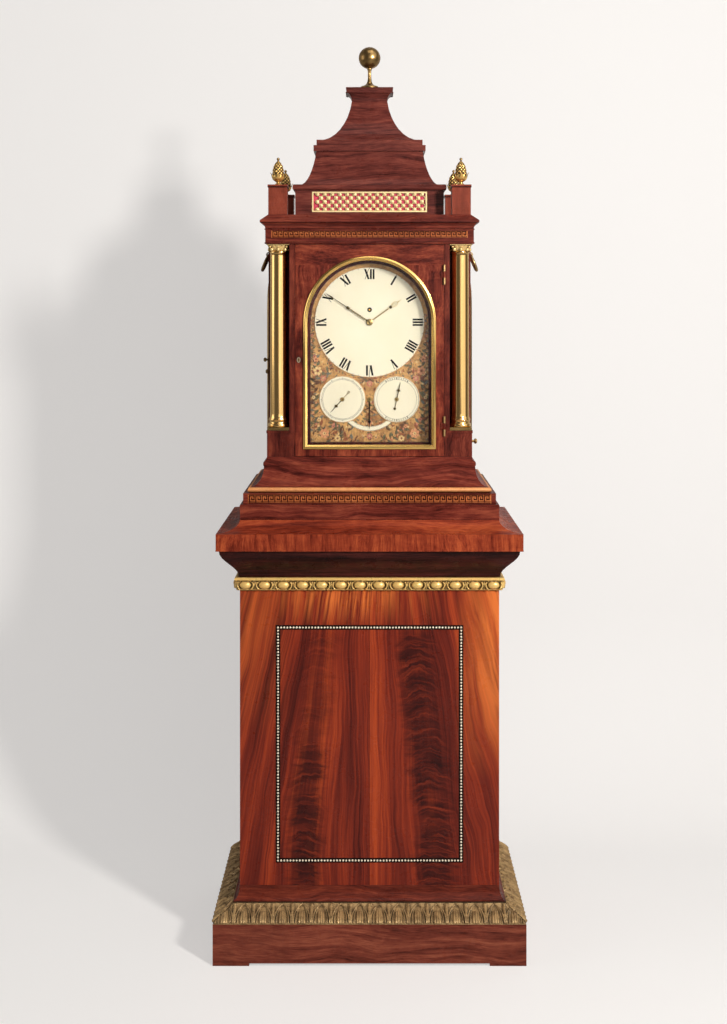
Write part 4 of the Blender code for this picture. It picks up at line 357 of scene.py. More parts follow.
def dial_ground():
    """Mottled gilt paint, under the flowers."""
    paint = Paint("dial_ground")
    slow = paint.noise(paint.where, 34.0, 4.0, 0.6, 0.5)
    fine = paint.noise(paint.where, 260.0, 4.0, 0.65)
    colour = paint.ramp(slow, (0.34, (158, 106, 62)), (0.5, (206, 156, 94)), (0.66, (226, 176, 106)))
    return paint.finish(
        Base_Color=paint.over(colour, (122, 84, 56), fine, 0.50, 0.66, 0.7),
        Metallic=0.15,
        Roughness=paint.span(slow, 0.3, 0.7, 0.34, 0.48),
        Normal=paint.bump(fine, 0.15, 0.0003),
    )


def dress(surface, names):
    """Gives CAD nodes a surface."""
    for name in names.split():
        mesh = nodes[name].data
        mesh.materials.clear()
        mesh.materials.append(surface)
    return surface


# Woods

RED_WOOD = ((60, 18, 15), (122, 50, 37), (170, 84, 58))
WARM_WOOD = ((90, 30, 21), (150, 61, 39), (200, 96, 56))
DEEP_WOOD = ((64, 23, 19), (118, 49, 39), (160, 79, 58))

ledge_wood = wood("mahogany_ledges", *WARM_WOOD, coat=0.02, banded=(0.790, 0.8255, "Z", 0), shine=0.04)
dress(ledge_wood, "pedestal_top")
base_wood = wood("mahogany_base", *DEEP_WOOD, figure=1.4, coat=0.02, ripple=0.3, shine=0.04)
dress(base_wood, "clock_base")
dress(
    wood("mahogany_case", (52, 18, 15), (104, 43, 34), (144, 68, 50), along="Z"),
    "corner_post_left corner_post_right case_side_left case_side_right case_back_frame back_door",
)
slanted = (1.345, 1.40, "SLANT", 0)
dress(wood("mahogany_door", *RED_WOOD, along="Z", figure=1.2, ripple=0.25, banded=slanted), "door_frame")
# The heights of the painted shadow lines in the entablature's quirks.
upright, quirks = (1.4455, 1.52, "Z", 0.45), (1.3908, 1.4178, 1.4240, 1.4294)
cross_wood = wood("mahogany_entablature", *DEEP_WOOD, banded=upright, quirks=quirks)
dress(cross_wood, "entablature")
pagoda_wood = wood("mahogany_pagoda", (56, 23, 20), (108, 50, 43), (146, 76, 62), ripple=0.2)
dress(pagoda_wood, "pagoda_frieze pagoda_lower_stage pagoda_upper_stage")
dress(wood("mahogany_skirting", (66, 22, 16), (118, 48, 34), (162, 76, 52)), "pedestal_skirting")
dress(wood("mahogany_plinth", (70, 28, 21), (128, 60, 46), (168, 92, 68)), "pedestal_plinth")
# A darker copy of the mahogany: painted shade for the cornice under the ledge, the board behind the eggs and
# the beads under the finials' caps.
shaded_mahogany = wood("mahogany_painted_shade", (28, 10, 10), (58, 24, 21), (88, 38, 33), figure=0.6)
dress(shaded_mahogany, "pedestal_cornice")
mask_wood = wood("mahogany_mask", (40, 18, 20), (76, 38, 38), (108, 60, 54), along="Z", figure=0.6, coat=0.0)
dress(mask_wood, "dial_mask")
dress(flame_wood(), "pedestal_front")
dress(wood("mahogany_pedestal_sides", *RED_WOOD, along="Z", figure=1.6, ripple=0.2), "pedestal_carcass")
oak = wood("oak_boards", (96, 66, 40), (138, 100, 62), (170, 130, 86), along="X", rough=0.55, coat=0.05)
dress(oak, "seat_board")
inlay = wood("inlay_light", (158, 82, 44), (200, 112, 62), (226, 142, 86), figure=0.4)
inlay_dark = wood("inlay_dark", (48, 16, 10), (76, 28, 18), (104, 44, 28), figure=0.4)

# Metals and gilding

brass = metal("brass_lacquered", (255, 212, 128), (236, 184, 102), (72, 46, 20), 0.20, 0.3)
dress(brass, "pagoda_fret door_bezel movement_frame spring_barrel music_barrel music_hammers pendulum")
dress(brass, "finial_front_left finial_front_right finial_back_left finial_back_right")
column_brass = metal("brass_column", (250, 205, 132), (232, 180, 106), (70, 44, 20), 0.13, 0.3)
dress(column_brass, "column_left column_right")
old_brass = metal("brass_aged", (184, 152, 104), (136, 106, 66), (40, 28, 16), 0.36, 0.6)
dress(old_brass, "side_fret_left side_fret_right ball_finial front_hinge_lower front_hinge_upper")
dress(old_brass, "handle_boss_right handle_right pull_knob")
# A darker copy of the brass: painted shade for the left handle, its boss and the side lever, on the side away
# from the light.
shaded_brass = metal("brass_painted_shade", (128, 102, 68), (82, 62, 40), (24, 17, 12), 0.32, 0.6)
dress(shaded_brass, "handle_boss_left handle_left side_lever")
dress(metal("bell_metal", (214, 190, 140), (170, 140, 92), (70, 52, 30), 0.24, 0.4), "bell_nest")
ball_brass = metal("brass_ball", (164, 132, 84), (112, 86, 50), (36, 26, 14), 0.30, 0.7)
pale_metal = metal("brass_pale", (228, 218, 196), (190, 178, 150), (80, 70, 52), 0.3, 0.4)
steel = metal("blued_steel", (66, 58, 50), (40, 34, 30), (16, 12, 10), 0.32, 0.5)
dress(steel, "hour_hand minute_hand regulation_hand chime_hand tune_hand")
hand_dark = metal("hand_bronze", (92, 78, 48), (62, 52, 32), (24, 20, 14), 0.34, 0.5)
hand_gilt = metal("hand_gilt", (176, 150, 98), (140, 116, 70), (60, 48, 28), 0.30, 0.4)
hand_pale = metal("hand_pale_gilt", (232, 214, 160), (206, 184, 128), (110, 92, 58), 0.36, 0.4)
capital_gilt = gilding("gilding_capitals", (255, 222, 150), (236, 178, 98), (74, 42, 16), 0.26, 0.3)
finial_brass = gilding("brass_finials", (255, 208, 124), (224, 164, 88), (36, 20, 9), 0.24, 0.4, 0.75)
gold_leaf = gilding("gilding", (255, 214, 130), (248, 184, 104), (58, 26, 9), 0.29, 0.35, 0.25)
dress(gold_leaf, "pedestal_egg_moulding")
old_gilding = gilding("gilding_old", (198, 162, 110), (118, 90, 56), (28, 20, 12), 0.40, 0.7)
dress(old_gilding, "pedestal_leaf_moulding")
dress(gilding("gilding_strip", (240, 166, 104), (208, 132, 76), (110, 56, 26), 0.40, 0.45), "base_gilt_strip")
bead_gilt = gilding("bead_gilding", (255, 242, 218), (250, 222, 180), (120, 76, 44), 0.34, 0.2, 0.08)
dress(bead_gilt, "pedestal_bead_frame")
fret_gilt = gilding("gilding_fret", (255, 232, 172), (240, 196, 124), (128, 72, 30), 0.42, 0.3)

# Paint, enamel, silk and glass

# Tarnish and painted shade for the furrows between a finial's scales.
finial_tarnish_and_shade = plain("brass_tarnish_and_painted_shade", (26, 15, 9), (44, 26, 14), 90.0, 0.5, metallic=0.2, shine=0.2)
# Painted shade for the sunk ground between the eggs.
egg_hollow_shade = plain("gilding_hollows_painted_shade", (48, 26, 12), (72, 42, 20), 120.0, 0.55, metallic=0.2)
# Painted shade for the low ground between the carved leaves and ribs.
leaf_hollow_shade = plain("leaf_hollows_painted_shade", (34, 25, 16), (56, 40, 24), 120.0, 0.6, shine=0.1)
# Black lacquer for the line behind the beads, and painted shade for the keyhole.
black_line = plain("black_lacquer_and_keyhole_shade", (22, 12, 9), (34, 18, 13), 60.0, 0.45, shine=0.1)
hand_black = plain("hand_black", (30, 25, 22), (20, 17, 15), 60.0, 0.34, shine=0.3)
enamel = plain("enamel", (252, 244, 216), (248, 239, 208), 14.0, 0.18, coat=0.4, bumps=0.02)
dress(enamel, "main_dial sub_dial_left sub_dial_right")
# Ink for the numerals and minute dots, and painted shade inside the winding hole.
ink_and_hole_shade = plain("dial_ink_and_hole_shade", (9, 7, 3), (16, 12, 6), 60.0, 0.6, shine=0.05)
ink_grey = plain("dial_ink_grey", (64, 58, 42), (84, 76, 56), 60.0, 0.5, shine=0.1)
dial_edge = plain("dial_edge_gilt", (226, 178, 116), (198, 146, 88), 60.0, 0.35, metallic=0.3)
silk = plain("silk", (226, 72, 100), (196, 46, 76), 60.0, 0.55, bumps=0.3)
dress(silk, "pagoda_silk")
deep_silk = plain("silk_deep", (158, 34, 50), (126, 22, 38), 60.0, 0.55, bumps=0.3)
flower_paints = [
    plain("paint_" + word, first, second, 180.0, 0.38, coat=0.15)
    for word, first, second in (
        ("brown", (116, 76, 48), (92, 58, 38)), ("green", (112, 108, 74), (88, 88, 62)),
        ("blue", (122, 124, 108), (98, 102, 94)), ("peach", (234, 168, 118), (214, 140, 92)),
        ("pink", (214, 138, 112), (190, 110, 90)), ("cream", (240, 212, 150), (224, 186, 120)),
        ("rust", (168, 96, 58), (138, 76, 46)),
    )
]
dress(window_glass(), "door_glass")
dress(dial_ground(), "dial_plate")


# Floor, backdrop, light and camera

def link(name, data, place=(0, 0, 0)):
    made = bpy.data.objects.new(name, data)
    made.location = place
    bpy.context.scene.collection.objects.link(made)
    return made


def stage_sheet():
    """A pale floor that curves up into a pale backdrop, lit in part by itself, so that shadows stay soft.

    The backdrop shows from the front alone, so that the back of the clock can be seen past it.
    """
    wide, floor_end, radius, under = 9.0, 0.38, 0.47, -0.002
    profile = [(-wide, 0.0), (floor_end, 0.0)]
    for step in range(1, 13):
        turn = math.radians(7.5 * step)
        profile.append((floor_end + radius * math.sin(turn), radius * (1 - math.cos(turn))))
    profile.append((floor_end + radius, 6.0))
    points = [(x, y, z) for y, z in profile for x in (-wide, wide)]
    faces = [(2 * i, 2 * i + 1, 2 * i + 3, 2 * i + 2) for i in range(len(profile) - 1)]
    faces.append(tuple(range(len(points), len(points) + 4)))
    points += [(-wide, floor_end, under), (wide, floor_end, under), (wide, wide, under), (-wide, wide, under)]
    mesh = bpy.data.meshes.new("backdrop")
    mesh.from_pydata(points, [], faces)
    mesh.shade_smooth()
    sheet = link("backdrop", mesh)
    paint = Paint("backdrop")
    seen = paint.seen(paint.span(paint.axes()[1], -0.9, -0.3, 0.05, 0.12))
    reach = paint.wire("VectorMath", "Value", {0: paint.where}, operation="LENGTH")
    strength = seen * paint.span(reach, 2.4, 7.0, 0.50, 0.86)
    glow = paint.wire("Emission", 0, {"Color": PALE_LIGHT, "Strength": strength})
    cloth = paint.wire("BsdfDiffuse", 0, {"Color": (0.50, 0.49, 0.48, 1.0)})
    both = paint.wire("AddShader", 0, {0: cloth, 1: glow})
    behind, clear = paint.wire("NewGeometry", "Backfacing"), paint.wire("BsdfTransparent")
    paint.node("OutputMaterial", {"Surface": paint.wire("MixShader", 0, {0: behind, 1: both, 2: clear})})
    mesh.materials.append(paint.owner)
    sheet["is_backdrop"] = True


def studio():
    """The room: pale to the eye, dimmer in mirrors, and faint as light."""
    paint = Paint("studio", "worlds", "Generated")
    across, along, _ = paint.axes()
    right = paint.span(across, 0.12, 0.26) * paint.span(across, 0.97, 0.88)
    right = right * paint.span(along, 0.0, -0.1) * 1.5
    left = paint.span(across, -0.72, -0.84) * 0.42
    strength = paint.sum("MULTIPLY_ADD", paint.seen(right.larger(left).larger(0.09)), 0.70, 0.05)
    light = paint.wire("Background", 0, {"Color": PALE_LIGHT, "Strength": strength})
    paint.node("OutputWorld", {"Surface": light})
    bpy.context.scene.world = paint.owner


stage_sheet()
for name, place, height, size, power in (
    ("key", (1.66, -2.45, 2.10), 0.95, (0.26, 0.36), 93),
    ("front_fill", (0.5, -3.6, 1.7), 0.9, (1.6, 1.6), 6),
    ("top_fill", (0.3, -0.8, 3.6), 0.9, (1.6, 1.2), 9),
    ("side_fill", (-3.2, -0.6, 1.9), 0.9, (1.8, 1.8), 14),
    ("back_fill", (0.6, 3.4, 2.4), 0.9, (2.4, 2.4), 46),
):
    light = bpy.data.lights.new(name, "AREA")
    light.shape = "RECTANGLE"
    light.size, light.size_y = size
    light.energy = power
    light.color = LAMP_COLOUR
    way = Vector((0, 0, height)) - Vector(place)
    link(name, light, place).rotation_euler = way.to_track_quat("-Z", "Y").to_euler()
studio()
bpy.context.scene.view_settings.view_transform = "Standard"

camera = bpy.data.cameras.new("camera")
camera.sensor_fit = "VERTICAL"
camera.sensor_height = 36.0
camera.lens = 50.5
camera.shift_x = -0.0059
camera.shift_y = -0.1973
camera.clip_end = 50.0
viewer = link("camera", camera, (0, -2.945, 1.256))
viewer.rotation_euler = (math.radians(90), 0, 0)
bpy.context.scene.camera = viewer


# Shapes

def mm(*rows):
    """Rows of millimetres as metres."""
    return [tuple(value / 1000 for value in row) for row in rows]


def grid(count, rows, around=True, closed=False, turned=False):
    """The faces between rows of count points. around joins a row's ends, closed the last row to the first."""
    faces = []
    for row in range(rows if closed else rows - 1):
        here, above = row * count, (row + 1) % rows * count
        for index in range(count if around else count - 1):
            beside = (index + 1) % count
            face = (here + index, here + beside, above + beside, above + index)
            faces.append(face[:1] + face[:0:-1] if turned else face)
    return faces


def circle(steps):
    """Even angles round a circle, in radians."""
    return [2 * math.pi * step / steps for step in range(steps)]


def ends(count, rows):
    """The two faces that close a tube of such rows."""
    return [tuple(reversed(range(count))), tuple(range((rows - 1) * count, rows * count))]


def polar(centre, turn, radius, across=0.0):
    """A place on a round dial, turn in degrees clockwise from its top, across to the right of the way out."""
    sine, cosine = math.sin(math.radians(turn)), math.cos(math.radians(turn))
    return (centre[0] + sine * radius + cosine * across, centre[1] + cosine * radius - sine * across)


class Shape:
    """Points and faces that grow into one piece."""

    def __init__(self):
        self.points = []
        self.faces = []
        self.slots = []

    def add(self, points, faces, slot=0):
        """Adds faces in one material slot, or in a list of slots."""
        first = len(self.points)
        self.points.extend(tuple(point) for point in points)
        self.faces.extend(tuple(first + index for index in face) for face in faces)
        self.slots.extend(slot if isinstance(slot, list) else [slot] * len(faces))

    def lathe(self, profile, centre, steps, slot=0, forward=False, lobes=None):
        """Turns (radius, height) pairs round an upright axis, or one forward. lobes scales the radius."""
        points = []
        for radius, height in profile:
            for turn in circle(steps):
                reach = radius * (lobes(turn, height) if lobes else 1)
                across, up = reach * math.cos(turn), reach * math.sin(turn)
                local = (across, -height, up) if forward else (across, up, height)
                points.append([centre[i] + local[i] for i in range(3)])
        self.add(points, grid(steps, len(profile)) + ends(steps, len(profile)), slot)

    def sweep(self, section, path, closed=True, slot=0):
        """Carries a closed section of (out, forward) pairs along a path of (place, out) pairs."""
        points = []
        for place, outward in path:
            for out, forward in section:
                points.append(Vector(place) + Vector(outward) * out + Vector((0, -forward, 0)))
        faces = grid(len(section), len(path), closed=closed)
        self.add(points, faces if closed else faces + ends(len(section), len(path)), slot)

    def box(self, low, high, slot=0):
        points = [(x, y, z) for x in (low[0], high[0]) for y in (low[1], high[1]) for z in (low[2], high[2])]
        faces = [(0, 1, 3, 2), (4, 6, 7, 5), (0, 4, 5, 1), (2, 3, 7, 6), (0, 2, 6, 4), (1, 5, 7, 3)]
        self.add(points, faces, slot)

    def block(self, x, y, half, low, high, slot=0):
        """A square plate between two heights."""
        self.box((x - half, y - half, low), (x + half, y + half, high), slot)

    def rails(self, low, high, rim, front, back, slot=0):
        """The four rails of an upright frame, from its outer (x, z) corners."""
        (left, foot), (right, head) = low, high
        for start, end in (
            ((left, foot), (right, foot + rim)), ((left, head - rim), (right, head)),
            ((left, foot + rim), (left + rim, head - rim)), ((right - rim, foot + rim), (right, head - rim)),
        ):
            self.box((start[0], front, start[1]), (end[0], back, end[1]), slot)

    def ball(self, centre, wide, tall, around, rings, slot=0):
        points = []
        for ring in range(1, rings):
            reach, height = math.sin(math.pi * ring / rings), math.cos(math.pi * ring / rings)
            points += [(reach * math.cos(turn), reach * math.sin(turn), height) for turn in circle(around)]
        top, last = len(points), len(points) - around
        points += [(0, 0, 1), (0, 0, -1)]
        faces = grid(around, rings - 1, turned=True)
        for step in range(around):
            after = (step + 1) % around
            faces += [(top, step, after), (top + 1, last + after, last + step)]
        self.add([Vector(centre) + Vector((x * wide, y * wide, z * tall)) for x, y, z in points], faces, slot)

    def plate(self, outline, front, back, slot=0):
        """A flat plate from (x, z) corners, between two y levels."""
        count = len(outline)
        points = [(x, front, z) for x, z in outline] + [(x, back, z) for x, z in outline]
        faces = [tuple(range(count)), tuple(reversed(range(count, 2 * count)))]
        for index in range(count):
            after = (index + 1) % count
            faces.append((after, index, count + index, count + after))
        self.add(points, faces, slot)

    def stroke(self, start, end, width, front, back, slot=0, taper=1.0):
        """A flat bar between two (x, z) places. Its end is taper times as wide as its start."""
        run, rise = end[0] - start[0], end[1] - start[1]
        length = math.hypot(run, rise)
        x, z = -rise / length * width / 2, run / length * width / 2
        outline = [
            (start[0] - x, start[1] - z), (end[0] - x * taper, end[1] - z * taper),
            (end[0] + x * taper, end[1] + z * taper), (start[0] + x, start[1] + z),
        ]
        self.plate(outline, front, back, slot)

    def disc(self, centre, radius, front, back, steps=16, slot=0, turn=0.0, squeeze=1.0):
        """A flat disc, or an ellipse with its radius along its turn."""
        outline = [
            polar(centre, turn, radius * math.cos(angle), -radius * squeeze * math.sin(angle))
            for angle in circle(steps)
        ]
        self.plate(outline, front, back, slot)

    def ring(self, centre, section, steps, slot=0, arc=(0, 360)):
        """Carries a closed section of (radius, y) pairs round a dial's centre, clockwise from its top."""
        start, end = arc
        whole = end - start == 360
        path = []
        for step in range(steps if whole else steps + 1):
            turn = math.radians(start + (end - start) * step / steps)
            path.append(((centre[0], 0.0, centre[1]), (math.sin(turn), 0, math.cos(turn))))
        self.sweep([(radius, -y) for radius, y in section], path, whole, slot)

    def hoop(self, centre, inner, outer, front, back, steps, slot=0, arc=(0, 360)):
        """A ring with a square section."""
        self.ring(centre, [(inner, back), (outer, back), (outer, front), (inner, front)], steps, slot, arc)

    def piece(self, name, body, *materials, smooth=40, bevel=0.0, replaces=()):
        mesh = bpy.data.meshes.new(name)
        mesh.from_pydata(self.points, [], self.faces)
        mesh.validate()
        for material in materials:
            mesh.materials.append(material)
        for face, slot in zip(mesh.polygons, self.slots):
            face.material_index = slot
            face.use_smooth = smooth > 0
        if smooth > 0:
            mesh.set_sharp_from_angle(angle=math.radians(smooth))
        made = link(name, mesh)
        if bevel:
            edge = made.modifiers.new("edges", "BEVEL")
            edge.width = bevel
            edge.segments = 2
            edge.limit_method = "ANGLE"
        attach(made, body)
        if replaces:
            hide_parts(*replaces)
        return made


# Carved mouldings

MOULDING_SPARE = 0.1054  # how much further a moulding reaches to each side than to the front
CARVING_STEP = 0.0010


def resample(profile, count):
    """Even steps along a line of (y, z) pairs, with the way that it faces at each."""
    lengths = [0.0]
    for first, second in zip(profile, profile[1:]):
        lengths.append(lengths[-1] + math.dist(first, second))
    found = []
    for step in range(count):
        reach = lengths[-1] * step / (count - 1)
        index = max(i for i in range(len(profile) - 1) if lengths[i] <= reach)
        first, second = profile[index], profile[index + 1]
        share = (reach - lengths[index]) / (lengths[index + 1] - lengths[index])
        run, rise = second[0] - first[0], second[1] - first[1]
        length = math.hypot(run, rise)
        place = (first[0] + run * share, first[1] + rise * share)
        found.append((place, (-rise / length, run / length), reach))
    return found


def carved(profile, rows, pitch, relief, back, hollow=0.0):
    """A moulding round three sides of the pedestal. Its half-width is its reach in front plus MOULDING_SPARE.

    Where the relief is below hollow, the surface takes the second material, which paints shade into the
    hollows.
    """
    shape = Shape()
    line = resample(profile, rows)
    front = max(-place[0] for place, _, _ in line)
    for side in (-1, 0, 1):
        deep = (back + front) / 2 if side else front + MOULDING_SPARE
        columns = int(2 * deep / CARVING_STEP)
        points, lifts = [], []
        for place, facing, reach in line:
            low = place[0] if side else place[0] - MOULDING_SPARE
            high = back if side else MOULDING_SPARE - place[0]
            for column in range(columns + 1):
                along = low + (high - low) * column / columns
                phase = along - (back - front) / 2 if side else along + pitch / 2
                near = along - low if side else min(along - low, high - along)
                local = (phase + pitch / 2) % pitch - pitch / 2
                lift = relief(local, reach) * min(1.0, near / 0.004)
                lifts.append(lift)
                y, z = place[0] + facing[0] * lift, place[1] + facing[1] * lift
                points.append((side * (MOULDING_SPARE - y), along, z) if side else (along, y, z))
        faces = grid(columns + 1, rows, around=False)
        slots = [int(max(lifts[corner] for corner in face) < hollow) for face in faces]
        shape.add(points, faces if side >= 0 else [face[::-1] for face in faces], slots)
    return shape


def bulge(value):
    return math.sqrt(max(0.0, 1.0 - value * value))


def egg_relief(along, up):
    """An egg in its husk, and half of the dart between it and the next, in metres."""
    up -= 0.0075
    if not 0.0 < up < 0.0172:
        return 0.0
    level = (up - 0.0086) / 0.0080
    egg = 0.0078 * math.sqrt(max(0.0, 1.0 - (along / 0.0122) ** 2 - level ** 2))
    ring = math.hypot(along / 0.0155, (up - 0.0088) / 0.0116)
    husk = 0.0056 * bulge((ring - 1.0) * 0.0135 / 0.0016) * min(1.0, abs(along) / 0.0100)
    dart = 0.0042 * bulge((0.01855 - abs(along)) / (0.0004 + 0.0014 * up / 0.0172))
    return max(egg, husk, dart) or -0.0003


def leaf_relief(along, up):
    """A pointed arch of leaves with ribs, in metres."""
    share = min(1.0, max(0.0, (up - 0.002) / 0.040))
    if not 0.0015 < up < 0.0445:
        return 0.0
    reach = abs(along)
    arch = 0.0162 * max(0.0, 1.0 - share ** 2.2) ** 0.75
    outer = 0.0040 * bulge((reach - arch) / 0.0017)
    middle = 0.0034 * bulge((reach - arch * 0.72) / 0.0012) if share < 0.82 else 0.0
    inner = arch * 0.50
    heart = 0.0046 * bulge(reach / max(inner, 0.0004)) if share < 0.62 and reach < inner else 0.0
    heart *= 0.45 + 0.55 * abs(math.cos(reach * 620))
    beyond = 0.0186 - reach
    dart = 0.0042 * bulge(beyond / (0.0011 + 0.0020 * share))
    side = 0.0034 * bulge((beyond - 0.0032 * share - 0.0006) / 0.0009) if share > 0.3 else 0.0
    return max(outer, middle, heart, dart, side) or -0.0003


EGG_PROFILE = mm(
    (-147.4, 710.5), (-151.5, 710.8), (-153.5, 712.2), (-153.7, 729.3), (-155.6, 729.7),
    (-157.0, 731.2), (-157.4, 733.5), (-156.6, 735.2), (-154.8, 735.9), (-147.4, 736.0),
)
# The sunk ground between the eggs and the board behind them are painted shade.
eggs = carved(EGG_PROFILE, 48, 0.0371, egg_relief, CASE_BACK)
eggs.box((-0.2526, -0.1474, 0.7104), (0.2526, CASE_BACK, 0.7359), 2)
eggs.piece(
    "egg_and_dart", "case", gold_leaf, egg_hollow_shade, shaded_mahogany, smooth=180, replaces=["pedestal_egg_moulding"]
)
LEAF_PROFILE = mm(
    (-194.6, 79.3), (-193.2, 83.0), (-189.4, 86.6), (-183.6, 90.3),
    (-170.1, 97.7), (-164.3, 101.4), (-160.5, 105.0), (-159.1, 108.7),
)
# Where the carving is less than 1.2 mm proud, it takes painted shade.
leaves = carved(LEAF_PROFILE, 40, 0.0372, leaf_relief, STRIP_BACK, 0.0012)
leaves.piece("leaf_carving", "case", old_gilding, leaf_hollow_shade, smooth=180)


def bead_frame():
    """A row of gilt beads round the front panel, on its black line."""
    shape = Shape()
    half, foot, head, pitch = 0.17825, 0.18425, 0.63775, 0.006
    front, line_front, back = -0.1476, -0.1474, -0.1470
    corners = [(-half, foot), (half, foot), (half, head), (-half, head)]
    for first, second in zip(corners, corners[1:] + corners[:1]):
        count = round(math.dist(first, second) / pitch)
        for index in range(count):
            x, z = (a + (b - a) * index / count for a, b in zip(first, second))
            shape.lathe(mm((1.9, 0), (2.1, 0.8), (1.8, 1.7), (0.8, 2.3)), (x, front, z), 10, forward=True)
    for wide, face in ((0.0026, front), (0.0045, line_front)):
        shape.rails((-half - wide, foot - wide), (half + wide, head + wide), 2 * wide, face, back, 1)
    shape.piece("bead_row", "case", bead_gilt, black_line, replaces=["pedestal_bead_frame"])


bead_frame()


# Columns and finials

def column(side):
    """A turned column with a leafy capital, between two square plates."""
    shape = Shape()
    x, y = side * 0.1813, -0.0759
    shape.block(x, y, 0.0217, 1.0172, 1.0232)
    shaft = mm(
        (15.0, 1023.0), (20.3, 1023.4), (21.3, 1025.0), (21.6, 1026.8), (21.1, 1028.8), (20.0, 1030.2),
        (19.0, 1030.6), (18.6, 1032.2), (18.5, 1034.5), (19.1, 1035.8), (19.8, 1036.4), (20.1, 1037.8),
        (19.7, 1039.2), (18.8, 1039.8), (18.7, 1041.2), (18.2, 1042.0), (17.7, 1045.0), (17.6, 1050.0),
        (17.5, 1150.0), (17.2, 1300.0), (16.9, 1364.0), (16.9, 1368.0), (17.4, 1368.8), (18.4, 1369.4),
        (18.7, 1370.6), (18.4, 1371.8), (17.2, 1372.4), (16.5, 1374.0),
    )
    shape.lathe(shaft, (x, y, 0), 48)

    def leafy(turn, height):
        share = (height - 1.3722) / 0.0128
        ripple = abs(math.cos(turn * 6)) ** 0.7
        corner = abs(math.sin(turn * 2)) ** 3
        return 0.97 + share * (0.10 * ripple + 0.08 * corner)

    bell = mm(
        (16.0, 1372.2), (16.8, 1374.5), (17.6, 1377.0), (19.0, 1380.0), (20.4, 1382.6), (21.0, 1384.2),
        (19.6, 1385.0),
    )
    shape.lathe(bell, (x, y, 0), 96, 1, lobes=leafy)

    def curl(turn, out, height, wide, tall):
        way = Vector((math.cos(math.radians(turn)), math.sin(math.radians(turn)), 0))
        shape.ball(Vector((x, y, height)) + way * out, wide, tall, 10, 6, 1)

    for turn in (45, 135, 225, 315):
        curl(turn, 0.0232, 1.3822, 0.0030, 0.0030)
        curl(turn, 0.0228, 1.3822, 0.0019, 0.0019)
        curl(turn, 0.0172, 1.3770, 0.0042, 0.0048)
    for turn in range(0, 360, 45):
        curl(turn, 0.0186, 1.3765, 0.0036, 0.0040)
    shape.block(x, y, 0.0220, 1.3847, 1.3866, 1)
    node = "column_" + WORD[side]
    shape.piece("brass_" + node, "case", column_brass, capital_gilt, replaces=[node])


def pineapple(x, y, word):
    """A cast cone of scales on a turned foot, in a cup of leaves with four curled tips."""
    shape = Shape()
    base, steps = 1.5052, 96
    foot = mm((7.2, 0), (7.2, 1.2), (6.4, 2.0), (4.6, 3.2), (3.8, 4.6), (4.2, 5.8), (5.2, 6.6), (5.0, 7.6))
    shape.lathe([(radius, base + height) for radius, height in foot], (x, y, 0), 24)
    outline = mm(
        (4.8, 7.0), (6.8, 8.5), (8.6, 10.5), (10.1, 13.0), (11.3, 16.5), (11.8, 20.5), (11.9, 24.5),
        (11.4, 29.0), (10.5, 33.5), (9.1, 38.0), (7.4, 41.5), (5.2, 44.5), (3.3, 46.5), (1.8, 48.0),
        (1.2, 48.8),
    )
    body = []
    for first, second in zip(outline, outline[1:]):
        body += [tuple(a + (b - a) * step / 5 for a, b in zip(first, second)) for step in range(5)]
    body.append(outline[-1])

    def scales(turn, height):
        """From 0 in the furrows to 1 on the scales."""
        wind = (height - 0.0230) * 430
        return min(abs(math.cos(4 * turn + wind)), abs(math.cos(4 * turn - wind)))

    points, slots = [], []
    for radius, height in body:
        fade = min(1.0, (0.050 - height) / 0.008)
        for turn in circle(steps):
            reach = radius * (1.0 - 0.16 * fade * (1.0 - scales(turn, height) ** 0.6))
            points.append((x + reach * math.cos(turn), y + reach * math.sin(turn), base + height))
    # The furrows between the scales take tarnish and painted shade.
    for (_, low), (_, high) in zip(body, body[1:]):
        slots += [int(scales(turn + math.pi / steps, (low + high) / 2) < 0.44) for turn in circle(steps)]
    shape.add(points, grid(steps, len(body)) + ends(steps, len(body)), slots + [0, 0])
    shape.ball((x, y, base + 0.0517), 0.0031, 0.0032, 14, 9, 2)
    # Leaves, as rows of (radius, height, half-width)
    curled = mm(
        (5.2, 7.0, 1.8), (9.8, 10.5, 3.4), (11.9, 15.0, 3.2), (12.7, 19.0, 2.2), (13.7, 22.2, 1.4),
        (16.0, 24.8, 0.4),
    )
    lying = mm((5.0, 6.8, 1.6), (9.4, 10.0, 3.2), (11.5, 13.8, 3.4), (12.3, 17.4, 2.4), (12.6, 20.6, 0.4))
    for index in range(12):
        cosine, sine = math.cos(math.radians(30 * index)), math.sin(math.radians(30 * index))
        out, beside = Vector((cosine, sine, 0)), Vector((-sine, cosine, 0))
        line = lying if index % 3 else curled
        points = []
        for radius, height, half in line:
            for across, lift in ((-half, 0.0), (0.0, 0.0008), (half, 0.0), (0.0, -0.0010)):
                points.append(Vector((x, y, base + height)) + out * (radius + lift) + beside * across)
        shape.add(points, grid(4, len(line)) + ends(4, len(line)))
    paints = (finial_brass, finial_tarnish_and_shade, old_brass)
    shape.piece("pineapple_" + word, "case", *paints, smooth=50, replaces=["finial_" + word])


def ball_finial():
    shape = Shape()
    radius, middle, neck, steps = 0.0227, 1.7808, 0.0050, 28
    profile = mm(
        (18.5, 1716.1), (18.5, 1720.0), (18.0, 1721.2), (15.0, 1722.2), (10.5, 1724.0), (7.5, 1726.2),
        (5.5, 1729.5), (4.2, 1734.0), (3.6, 1740.0), (3.4, 1748.0), (3.7, 1754.0), (5.0, 1757.5),
    )
    start = math.asin(neck / radius)
    for step in range(steps + 1):
        turn = start + (math.pi - start - 0.02) * step / steps
        profile.append((radius * math.sin(turn), middle - radius * math.cos(turn)))
    shape.lathe(profile, (0, 0.0486, 0), 48)
    shape.piece("ball_and_stem", "case", ball_brass, replaces=["ball_finial"])


